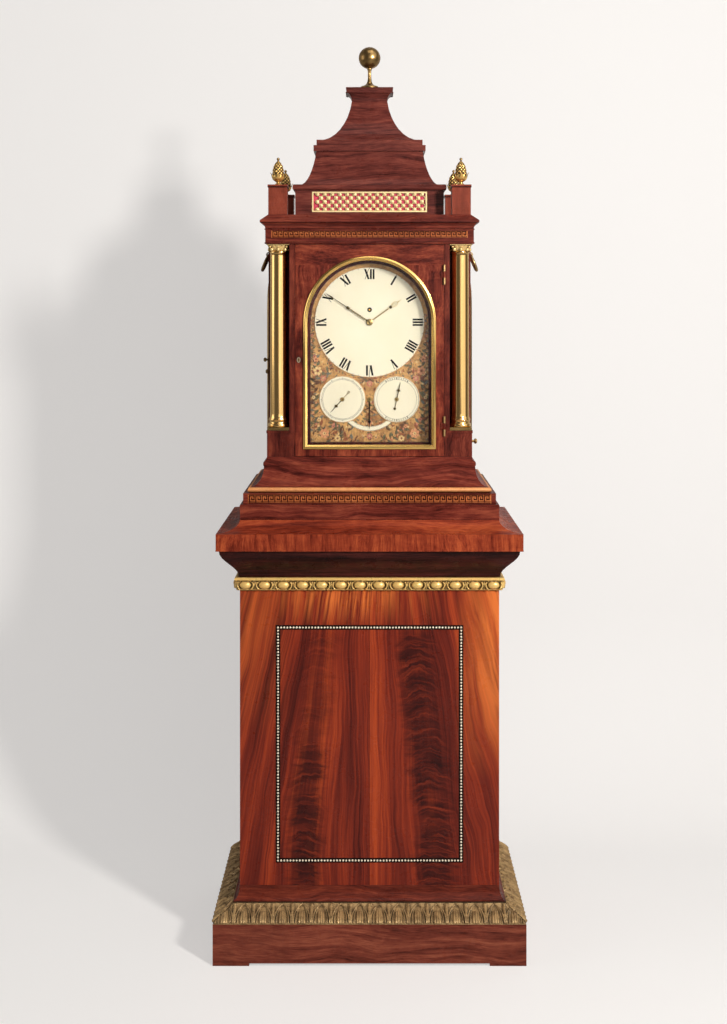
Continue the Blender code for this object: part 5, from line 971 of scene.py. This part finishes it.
for side in (-1, 1):
    column(side)
for row, y in FINIAL_ROWS.items():
    for side in (-1, 1):
        pineapple(side * FINIAL_X, y, f"{row}_{WORD[side]}")
ball_finial()


# The bezel of the door, the pierced fret of the pagoda, and the silks

def bezel():
    """A moulding round the arched opening of the door."""
    shape = Shape()
    section = mm(
        (0, 0), (0, 1.6), (-0.6, 2.6), (-1.8, 3.0), (-2.6, 4.0), (-4.0, 4.6),
        (-5.6, 4.4), (-6.6, 3.4), (-7.0, 2.0), (-8.0, 1.8), (-8.8, 1.0), (-9.0, 0),
    )
    half, foot, springing, face, steps = 0.1320, 0.9799, 1.2314, -0.0982, 56
    path = [((side * half, face, foot), (side, 0, -1)) for side in (-1, 1)]
    for step in range(steps + 1):
        turn = math.pi * step / steps
        out = (math.cos(turn), 0, math.sin(turn))
        path.append(((half * out[0], face, springing + half * out[2]), out))
    shape.sweep(section, path)
    shape.piece("bezel_moulding", "front_door", brass, replaces=["door_bezel"])


def pagoda_fret():
    """Rows of small bosses with bars between them, in a frame."""
    shape = Shape()
    half, foot, head, rim = 0.1160, 1.4536, 1.4947, 0.0030
    front, bar_front, back = -0.0468, -0.0452, -0.0434
    shape.rails((-half, foot), (half, head), rim, front, back)
    middle, row_pitch, pitch, boss_limit, bar_limit = (foot + head) / 2, 0.0078, 0.0151, 0.1115, 0.1140
    boss = mm((4.6, 0), (4.5, 1.0), (3.6, 2.4), (1.8, 2.7), (1.4, 3.4), (0.5, 3.7))

    def petals(turn, height):
        return 1.0 + 0.10 * math.cos(4 * turn)

    for row in range(-2, 3):
        for index in range(-8, 9):
            x, z = index * pitch + (pitch / 2 if row % 2 else 0.0), middle + row * row_pitch
            if abs(x) > boss_limit:
                continue
            shape.lathe(boss, (x, back, z), 12, forward=True, lobes=petals)
            for way in (-1, 1):
                end = (x + pitch / 2, z + way * row_pitch)
                if abs(end[0]) <= bar_limit and abs(end[1] - middle) <= 2.4 * row_pitch:
                    shape.stroke((x, z), end, 0.0014, bar_front, back)
    shape.piece("lattice_fret", "case", fret_gilt, smooth=50, replaces=["pagoda_fret"])


def silk_panel():
    """Silk behind the pagoda's fret, with fine ripples that end at its edges."""
    shape = Shape()
    columns, rows = 180, 12
    points = []
    for row in range(rows + 1):
        for column in range(columns + 1):
            x = -0.1160 + 0.2320 * column / columns
            ripple = 0.00022 * math.sin(x * 900) * math.sin(math.pi * row / rows)
            points.append((x, -0.04275 - ripple, 1.4536 + 0.0411 * row / rows))
    shape.add(points, grid(columns + 1, rows + 1, around=False))
    made = shape.piece("silk_panel", "case", silk, smooth=180, replaces=["pagoda_silk"])


def side_silk(side, word):
    """Silk behind an arched side fret, in the opening of the case side."""
    shape = Shape()
    half, low, springing, columns, rows = 0.0526, 1.0183, 1.2569, 40, 90
    points = []
    for row in range(rows + 1):
        z = low + (springing + half - low) * row / rows
        rise = max(0.0, z - springing)
        wide = max(0.0015, math.sqrt(max(0.0, half * half - rise * rise)))
        for column in range(columns + 1):
            y = 0.0770 - wide + 2 * wide * column / columns
            points.append((side * (0.2027 + 0.0002 * math.sin(y * 800 + 0.6 * math.sin(z * 30))), y, z))
    shape.add(points, [face[::side] for face in grid(columns + 1, rows + 1, around=False)])
    made = shape.piece("silk_side_" + word, "case", deep_silk, smooth=180)


bezel()
pagoda_fret()
silk_panel()
for side in (-1, 1):
    side_silk(side, WORD[side])


# The dial: numerals, marks and painted flowers

MAIN = (0.0, 1.2314)
LEFT_SUB, RIGHT_SUB, TUNE = (-0.0545, 1.0769), (0.0545, 1.0769), (0.0, 1.0769)


def numerals():
    shape = Shape()
    plane = (-0.06672, -0.0665)
    foot, head, minute_ring = 0.0866, 0.1066, 0.1084
    thick, thin, serif = 0.0037, 0.0010, 0.0004
    winding_hole = (0.0, 1.2564)
    glyphs = {
        "I": (0.0054, [((0, foot), (0, head), thick)]),
        "V": (0.0104, [((-0.0034, head), (0.0004, foot), thick), ((0.0036, head), (0.0006, foot), thin)]),
        "X": (0.0108, [((-0.0036, head), (0.0036, foot), thick), ((0.0036, head), (-0.0036, foot), thin)]),
    }

    def line(hour, start, end, width):
        shape.stroke(polar(MAIN, 30 * hour, *start), polar(MAIN, 30 * hour, *end), width, *plane)

    for hour, word in enumerate("XII I II III IIII V VI VII VIII IX X XI".split()):
        place = -sum(glyphs[letter][0] for letter in word) / 2
        for letter in word:
            advance, strokes = glyphs[letter]
            middle = place + advance / 2
            for (a, low), (b, high), width in strokes:
                line(hour, (low, middle + a), (high, middle + b), width)
                for radius, across in ((low, middle + a), (high, middle + b)):
                    tip = width / 2 + serif
                    line(hour, (radius, across - tip), (radius, across + tip), serif)
            place += advance
    for minute in range(60):
        shape.disc(polar(MAIN, 6 * minute, minute_ring), 0.0006 if minute % 5 else 0.0009, *plane, 10)
    # A dark ring of painted shade inside the winding hole, leaving its centre light.
    shape.hoop(winding_hole, 0.0018, 0.0047, *plane, 32)
    shape.piece("dial_numerals", "case", ink_and_hole_shade, smooth=0)


def dial_lines():
    """Fine rings and marks on the small dials."""
    shape = Shape()
    plane = (-0.06612, -0.0659)
    for centre, radius in ((LEFT_SUB, 0.0412), (LEFT_SUB, 0.0392), (RIGHT_SUB, 0.0440), (RIGHT_SUB, 0.0396)):
        shape.hoop(centre, radius, radius + 0.0005, *plane, 64)
    for index in range(-5, 6):
        for middle in (0, 180):
            start, end = (polar(RIGHT_SUB, middle + index * 6.2, reach) for reach in (0.0402, 0.0434))
            shape.stroke(start, end, 0.0010 if index % 5 else 0.0018, *plane)
    for turn in range(0, 360, 30):
        shape.stroke(polar(LEFT_SUB, turn, 0.0414), polar(LEFT_SUB, turn, 0.0436), 0.0009, *plane)
    shape.piece("dial_lines", "case", ink_grey, smooth=0)


def tune_band():
    """The band that names the tunes, with its marks, and the gilt edges of the three dials."""
    shape = Shape()
    arc, back, line_plane = (134, 226), -0.0643, (-0.06495, -0.0648)
    shape.hoop(TUNE, 0.0546, 0.0634, -0.0649, back, 56, 0, arc)
    for radius in (0.0549, 0.0627):
        shape.hoop(TUNE, radius, radius + 0.0004, *line_plane, 56, 1, arc)
    for index in range(7):
        turn = 180 + (index - 3) * 13
        shape.stroke(polar(TUNE, turn, 0.0556), polar(TUNE, turn, 0.0572), 0.0007, *line_plane, 1)
    for centre, radius in ((MAIN, 0.1097), (LEFT_SUB, 0.0459), (RIGHT_SUB, 0.0459)):
        outer = radius + 0.0011
        shape.ring(centre, [(radius, back), (outer, back), (outer, -0.0650), (radius, -0.0656)], 96, 2)
    shape.piece("tune_band", "case", enamel, ink_grey, dial_edge, smooth=30)


def painted_flowers():
    """A garden of rosettes, buds and curling leaves round the dials, the same on both sides."""
    shape = Shape()
    chance = random.Random(11)
    base = -0.0640
    brown, green, blue, peach, pink, cream, rust = range(7)
    leaf_outline = (
        (0, 0), (0.25, 0.8), (0.5, 1.0), (0.78, 0.62), (1, 0), (0.78, -0.45), (0.5, -0.7), (0.25, -0.6)
    )

    def level(step):
        """The two planes of a layer of paint."""
        return base - 0.00022 - 0.00002 * step, base

    def leaf(place, turn, length, width, slot, step):
        outline = [polar(place, turn, along * length, -across * width) for along, across in leaf_outline]
        shape.plate(outline, *level(step), slot)
        shape.stroke(place, polar(place, turn, length * 0.86), width * 0.22, *level(step + 1), brown, 0.3)

    def rosette(place, radius, petals, outer, inner, step):
        spin = chance.uniform(0, 360)
        for index in range(petals):
            turn = spin + 360 * index / petals
            middle = polar(place, turn, radius * 0.58)
            shape.disc(middle, radius * 0.46, *level(step + index % 2), 10, outer, turn, 0.78)
        for index in range(petals):
            turn = spin + 360 * (index + 0.5) / petals
            start, end = (polar(place, turn, radius * share) for share in (0.25, 0.80))
            shape.stroke(start, end, radius * 0.07, *level(step + 3), brown, 0.4)
        shape.disc(place, radius * 0.34, *level(step + 4), 10, inner)
        shape.disc(place, radius * 0.14, *level(step + 5), 8, brown)

    def spray(place, turn, length, curl, count, size, side):
        for index in range(count):
            after = polar(place, turn, length / count)
            shape.stroke(place, after, 0.0008, *level(0), brown)
            way = 1 if index % 2 else -1
            colour = chance.choice((green, green, blue, brown, rust))
            turn_out, long = turn + way * chance.uniform(35, 65), size * chance.uniform(1.1, 1.6)
            leaf(after, turn_out, long, size * 0.34, colour, 1 + index % 3)
            turn_back, short = turn - way * chance.uniform(70, 110), size * chance.uniform(0.6, 0.9)
            leaf(after, turn_back, short, size * 0.22, chance.choice((brown, green, rust)), 1)
            if index % 3 == 2:
                bud = polar(after, turn - way * 60, size * 0.5)
                shape.disc(bud, size * 0.22, *level(4), 8, chance.choice((peach, pink, cream)))
            turn += side * curl
            place = after
        rosette(place, size * 0.42, 5, chance.choice((peach, cream, pink)), rust, 6)

    for _ in range(620):
        x, z = chance.uniform(0.002, 0.121), chance.uniform(0.9935, 1.215)
        turn, length = chance.uniform(0, 360), chance.uniform(0.004, 0.0085)
        colour = chance.choice((brown, brown, green, green, blue, rust, cream, peach))
        clear = math.dist((x, z), MAIN) > 0.1120 and math.dist((x, z), RIGHT_SUB) > 0.0485
        if clear and x * 0.9 + z < 1.315:
            for side in (-1, 1):
                leaf((side * x, z), side * turn, length, length * 0.24, colour, 0)
    for side in (-1, 1):
        for x, z, turn, length, curl, count, size in (
            (0.022, 0.9925, 75, 0.060, -4, 9, 0.0095),
            (0.070, 0.9925, 60, 0.056, -7, 8, 0.0100),
            (0.113, 1.006, -8, 0.075, 1.5, 11, 0.0090),
            (0.108, 1.062, 8, 0.066, -2, 9, 0.0095),
            (0.112, 1.105, -22, 0.060, 5, 9, 0.0085),
            (0.114, 1.150, -2, 0.055, 1, 8, 0.0070),
            (0.116, 1.200, 0, 0.045, -1, 7, 0.0050),
            (0.098, 1.118, -50, 0.040, 6, 6, 0.0080),
            (0.003, 1.108, 15, 0.022, 14, 4, 0.0075),
            (0.004, 1.030, 10, 0.040, -3, 6, 0.0065),
            (0.012, 1.0245, 78, 0.030, 9, 5, 0.0070),
            (0.046, 1.0130, 82, 0.046, -12, 7, 0.0080),
        ):
            spray((side * x, z), side * turn, length, curl, count, size, side)
        for x, z, radius, petals, outer, inner in (
            (0.0905, 1.0085, 0.0098, 7, peach, cream), (0.0640, 0.9985, 0.0062, 6, cream, rust),
            (0.1040, 1.1340, 0.0088, 6, cream if side < 0 else peach, rust),
            (0.0930, 1.1190, 0.0060, 6, pink, cream), (0.1075, 1.1570, 0.0056, 5, peach, rust),
        ):
            rosette((side * x, z), radius, petals, outer, inner, 14)
    for z, radius, outer, inner in (
        (1.1080, 0.0062, pink, cream), (1.0300, 0.0058, peach, rust), (1.0030, 0.0060, pink, cream)
    ):
        rosette((0.0, z), radius, 6, outer, inner, 14)
    shape.piece("painted_flowers", "case", *flower_paints, smooth=0)


numerals()
dial_lines()
tune_band()
painted_flowers()


# The hands

class Hand(Shape):
    """A hand that points one way from its dial's centre. A place on it is a reach, or (reach, across)."""

    def __init__(self, centre, turn, front, back):
        super().__init__()
        self.centre, self.turn, self.front, self.back = centre, turn, front, back

    def at(self, place):
        return polar(self.centre, self.turn, *(place if isinstance(place, tuple) else (place,)))

    def bar(self, start, end, width, slot=0, taper=1.0, sunk=0.0):
        self.stroke(self.at(start), self.at(end), width, self.front + sunk, self.back, slot, taper)

    def knob(self, place, radius, slot=0):
        back, front = self.back, self.front
        section = [
            (0.0002, back), (radius, back), (radius * 0.94, front), (radius * 0.6, front - 0.0003),
            (0.0002, front - 0.0005),
        ]
        self.ring(self.at(place), section, 20, slot)

    def hub(self, radius, bore, outer, end):
        """A turned collar on the dial side, and the pipe or arbor that carries the hand."""
        back, front = self.back, self.front
        collar = [
            (0.0011, back), (radius, back), (radius, front), (radius * 0.82, front - 0.0004),
            (radius * 0.66, front - 0.0001), (radius * 0.5, front - 0.0005), (0.0011, front - 0.0005),
        ]
        self.ring(self.centre, collar, 32, 1)
        self.hoop(self.centre, bore, outer, back, end, 24)


ARBOR_END = -0.0441


def hour_hand():
    hand = Hand(MAIN, math.degrees(math.atan2(0.0642, 0.0460)), -0.0687, -0.0678)
    hand.hub(0.0066, 0.0027, 0.0041, -0.0479)
    hand.bar(0.0060, 0.0500, 0.0013, 2, 0.8)
    for index in range(15):
        place = hand.at(0.0080 + index * 0.0026)
        hand.disc(place, 0.0016, hand.front - 0.0002, hand.back, 10, 1, hand.turn, 0.8)
    hand.knob(0.0470, 0.0014, 2)
    hand.knob(0.0520, 0.0031)
    loop = mm((54.0, 0), (56.5, 2.6), (60.0, 4.4), (64.0, 4.6), (66.8, 3.0), (68.2, 0.6))
    curl = mm((57.5, 0.8), (60.5, 2.2), (63.0, 2.0), (64.0, 0.6))
    for way in (-1, 1):
        for line, width in ((loop, 0.0011), (curl, 0.0007)):
            for (a, b), (c, d) in zip(line, line[1:]):
                hand.bar((a, way * b), (c, way * d), width, 2)
    hand.bar(0.0680, 0.0790, 0.0026, 2, 0.12)
    paints = (hand_dark, hand_gilt, hand_pale)
    hand.piece("hour_hand_pierced", "hour_hand", *paints, smooth=30, replaces=["hour_hand"])


def minute_hand():
    hand = Hand(MAIN, math.degrees(math.atan2(-0.0876, 0.0580)), -0.0708, -0.0699)
    hand.hub(0.0056, 0.0002, 0.0016, ARBOR_END)
    hand.bar(0.0050, 0.0510, 0.0010, sunk=0.0002)
    for index in range(17):
        place = hand.at(0.0072 + index * 0.0026)
        hand.disc(place, 0.0019, hand.front - 0.0001, hand.back, 10, index % 2, hand.turn + 90, 0.62)
    hand.knob(0.0528, 0.0032)
    for way in (-1, 1):
        hand.bar(0.0530, (0.0480, way * 0.0030), 0.0012, taper=0.3)
    hand.bar(0.0545, 0.0880, 0.0015, taper=0.75)
    hand.bar(0.0870, 0.0905, 0.0020, taper=1.5)
    hand.bar(0.0905, 0.1050, 0.0030, taper=0.1)
    paints = (hand_dark, hand_gilt)
    hand.piece("minute_hand_twisted", "minute_hand", *paints, smooth=30, replaces=["minute_hand"])


def small_hand(body, centre, turn, reach, knob, width, paint, tail=""):
    """A pointer with a knob and two barbs, and perhaps a tail that ends in a ring or a disc."""
    hand = Hand(centre, turn, -0.0681, -0.0672)
    hand.hub(0.0042, 0.0002, 0.0016, ARBOR_END)
    hand.bar(0.0030, knob, width)
    hand.knob(knob, 0.0029)
    for way in (-1, 1):
        hand.bar(knob, (knob - 0.0010, way * 0.0044), 0.0016, taper=0.3)
    hand.bar(knob + 0.0012, reach, 0.0019, taper=0.35)
    tail_end = -0.0192
    if tail:
        hand.bar(-0.0030, -0.0170, 0.0011, int(tail == "ring"))
    if tail == "ring":
        hand.hoop(hand.at(tail_end), 0.0014, 0.0024, hand.front, hand.back, 20, 1)
    elif tail:
        hand.knob(tail_end, 0.0028)
    hand.piece(body + "_turned", body, paint, hand_gilt, smooth=30, replaces=[body])


hour_hand()
minute_hand()
small_hand("regulation_hand", LEFT_SUB, 222, 0.0350, 0.0182, 0.0015, hand_dark, "ring")
small_hand("chime_hand", RIGHT_SUB, 12, 0.0350, 0.0182, 0.0015, hand_dark, "disc")
small_hand("tune_hand", TUNE, 180, 0.0585, 0.0445, 0.0022, hand_black)


# Inlaid key pattern, and thin beads that divide the mouldings

def key_band(name, half, low, high, face, pitch, reach):
    """A running key pattern in dark lines on a light strip, on the front and both sides of the case."""
    shape = Shape()
    tall = high - low
    thick, sunk = tall * 0.135, 0.0003
    spiral = [(0.0, 0.0), (0.0, 1.0), (0.72, 1.0), (0.72, 0.36), (0.36, 0.36), (0.36, 0.64)]
    foot, head = low + tall * 0.17, high - tall * 0.17

    def run(side, start, end):
        def place(first, second, proud, slot, spare):
            """A bar on the front, or on one side."""
            (start, end), (low, high) = (sorted(pair) for pair in zip(first, second))
            start, end, low, high = start - spare, end + spare, low - spare, high + spare
            if side:
                x = sorted((side * (half - sunk), side * (half + proud)))
                shape.box((x[0], start, low), (x[1], end, high), slot)
            else:
                shape.box((start, face - proud, low), (end, face + sunk, high), slot)

        place((start - 0.002, low), (end + 0.002, high), 0.00008, 0, 0.0)
        for index in range(int(round((end - start) / pitch))):
            left = start + index * pitch + pitch * 0.10
            line = [(left + a * pitch, foot + b * (head - foot)) for a, b in spiral]
            for first, second in zip(line, line[1:]):
                place(first, second, 0.00016, 1, thick / 2)
        for z in (foot, low + thick * 0.3, high - thick * 0.3):
            place((start, z), (end, z), 0.00014, 1, thick * 0.3)

    side_reach = int((CASE_BACK - face - 0.016) / pitch) * pitch / 2
    front_reach, middle = int(2 * reach / pitch) * pitch / 2, (CASE_BACK + face) / 2
    run(0, -front_reach, front_reach)
    for side in (-1, 1):
        run(side, middle - side_reach, middle + side_reach)
    shape.piece(name, "case", inlay, inlay_dark, smooth=0)


def bead_strip(name, half, face, back, foot, head, proud, material, closed=False):
    """A half-round strip round the front and both sides, or all four, mitred at the corners."""
    shape = Shape()
    sunk = -0.0004
    section = [(sunk, foot)]
    for step in range(9):
        turn = math.pi * step / 8
        section.append((proud * math.sin(turn), (foot + head) / 2 - (head - foot) / 2 * math.cos(turn)))
    section.append((sunk, head))
    points = []
    for side, y in ((-1, back), (-1, face), (1, face), (1, back)):
        forward = -1 if y == face else int(closed)
        points += [(side * (half + out), y + forward * out, z) for out, z in section]
    faces = grid(len(section), 4, closed=closed)
    shape.add(points, faces if closed else faces + ends(len(section), 4))
    shape.piece(name, "case", material, smooth=50)


def block_beads():
    """A bead under the cap of each finial's block, dark with painted shade."""
    shape = Shape()
    layers = mm((19.4, 1499.2, 1500.0), (20.2, 1500.0, 1501.0), (19.5, 1501.0, 1501.8))
    for x in (-FINIAL_X, FINIAL_X):
        for y in FINIAL_ROWS.values():
            for half, foot, head in layers:
                shape.block(x, y, half, foot, head)
    shape.piece("finial_block_beads", "case", shaded_mahogany, smooth=0, bevel=0.0003)


key_band("key_inlay_frieze", 0.2065, 1.3988, 1.4132, -0.1011, 0.0104, 0.1965)
key_band("key_inlay_base", 0.2468, 0.8785, 0.8962, -0.1414, 0.0124, 0.2400)
for name, half, face, foot, head, proud, material in (
    ("frieze_bead_upper", 0.2064, -0.1010, 1.4146, 1.4172, 0.0018, cross_wood),
    ("frieze_bead_lower", 0.2064, -0.1010, 1.3872, 1.3902, 0.0016, cross_wood),
    ("base_bead", 0.2523, -0.1469, 0.8724, 0.8752, 0.0010, base_wood),
    ("base_foot_bead", 0.2523, -0.1469, 0.8478, 0.8502, 0.0008, base_wood),
    ("ledge_bead", 0.2952, -0.1898, 0.7926, 0.7950, 0.0006, ledge_wood),
):
    bead_strip(name, half, face, STRIP_BACK, foot, head, proud, material)
for name, share, foot, head, proud in (
    ("pagoda_foot_bead", 1.0213, 1.4980, 1.5088, 0.0022),
    ("pagoda_cap_bead_lower", 0.319, 1.7036, 1.7062, 0.0014),
    ("pagoda_cap_bead_upper", 0.319, 1.7134, 1.7157, 0.0010),
):
    deep = 0.095 * share
    bead_strip(name, 0.150 * share, 0.0486 - deep, 0.0486 + deep, foot, head, proud, pagoda_wood, True)
block_beads()


# Lock escutcheon, handles and bosses

def escutcheon():
    shape = Shape()
    centre, face = (-0.1405, 1.1570), -0.0979
    for slot, wide, tall, proud in ((0, 0.0036, 0.0054, 0.0009), (1, 0.0024, 0.0041, 0.00095)):
        shape.disc(centre, wide, face - proud, face + 0.0004, 28, slot, 90, tall / wide)
    plane = (face - 0.0010, face)
    # The keyhole is a black plate, painted shade for the dark inside of the hole.
    shape.disc((centre[0], centre[1] + 0.0013), 0.0011, *plane, 12, 2)
    shape.stroke((centre[0], centre[1] + 0.0010), (centre[0], centre[1] - 0.0026), 0.0009, *plane, 2, 1.6)
    shape.piece("door_escutcheon", "front_door", pale_metal, old_brass, black_line, smooth=30)


def ring_handle(side):
    """A hanging ring, thickest at its foot, and the beads round its boss."""
    shape = Shape()
    # The left handle and the beads of its boss take the shaded copy of the brass, as painted shade.
    word, paint = WORD[side], shaded_brass if side < 0 else old_brass
    lean, radius, y, z = math.radians(23), 0.0175, 0.0770, 1.3719
    down = Vector((side * math.sin(lean), 0, -math.cos(lean)))
    out = Vector((side * math.cos(lean), 0, math.sin(lean)))
    centre = Vector((side * 0.2114, y, z)) + down * radius
    points, around, along = [], 16, 56
    for turn in circle(along):
        way = Vector((0, math.sin(turn), 0)) - down * math.cos(turn)
        swell = 0.0029 + 0.0004 * (0.5 - 0.5 * math.cos(turn))
        for spin in circle(around):
            points.append(centre + way * (radius + swell * math.cos(spin)) + out * (swell * math.sin(spin)))
    shape.add(points, grid(around, along, closed=True, turned=True))
    shape.piece("ring_handle_" + word, "handle_" + word, paint, smooth=60, replaces=["handle_" + word])
    rosette, boss, bead = Shape(), 0.0098, 0.0012
    for turn in circle(20):
        place = (side * 0.2049, y + boss * math.cos(turn), z + boss * math.sin(turn))
        rosette.ball(place, bead, bead, 8, 6)
    rosette.piece("boss_beads_" + word, "case", paint, smooth=60)


escutcheon()
for side in (-1, 1):
    ring_handle(side)


# Softened edges on the joiner's work

for width, names in (
    (0.0006, "pedestal_front"), (0.0008, "case_side_left case_side_right case_back_frame"),
    (0.0009, "door_frame corner_post_left corner_post_right"), (0.0011, "entablature"),
    (0.0010, "pagoda_frieze pedestal_cornice base_gilt_strip pedestal_carcass back_door"),
    (0.0012, "clock_base pedestal_skirting"), (0.0016, "pedestal_top"),
    (0.0014, "pagoda_lower_stage pagoda_upper_stage pedestal_plinth"),
):
    for name in names.split():
        edge = nodes[name].modifiers.new("edges", "BEVEL")
        edge.width = width
        edge.segments = 3
        edge.limit_method = "ANGLE"
        edge.angle_limit = math.radians(40)
        edge.use_clamp_overlap = True
        edge.harden_normals = True


size = {"cad": cad_bounds, "visual": [list(corner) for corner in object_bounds()]}
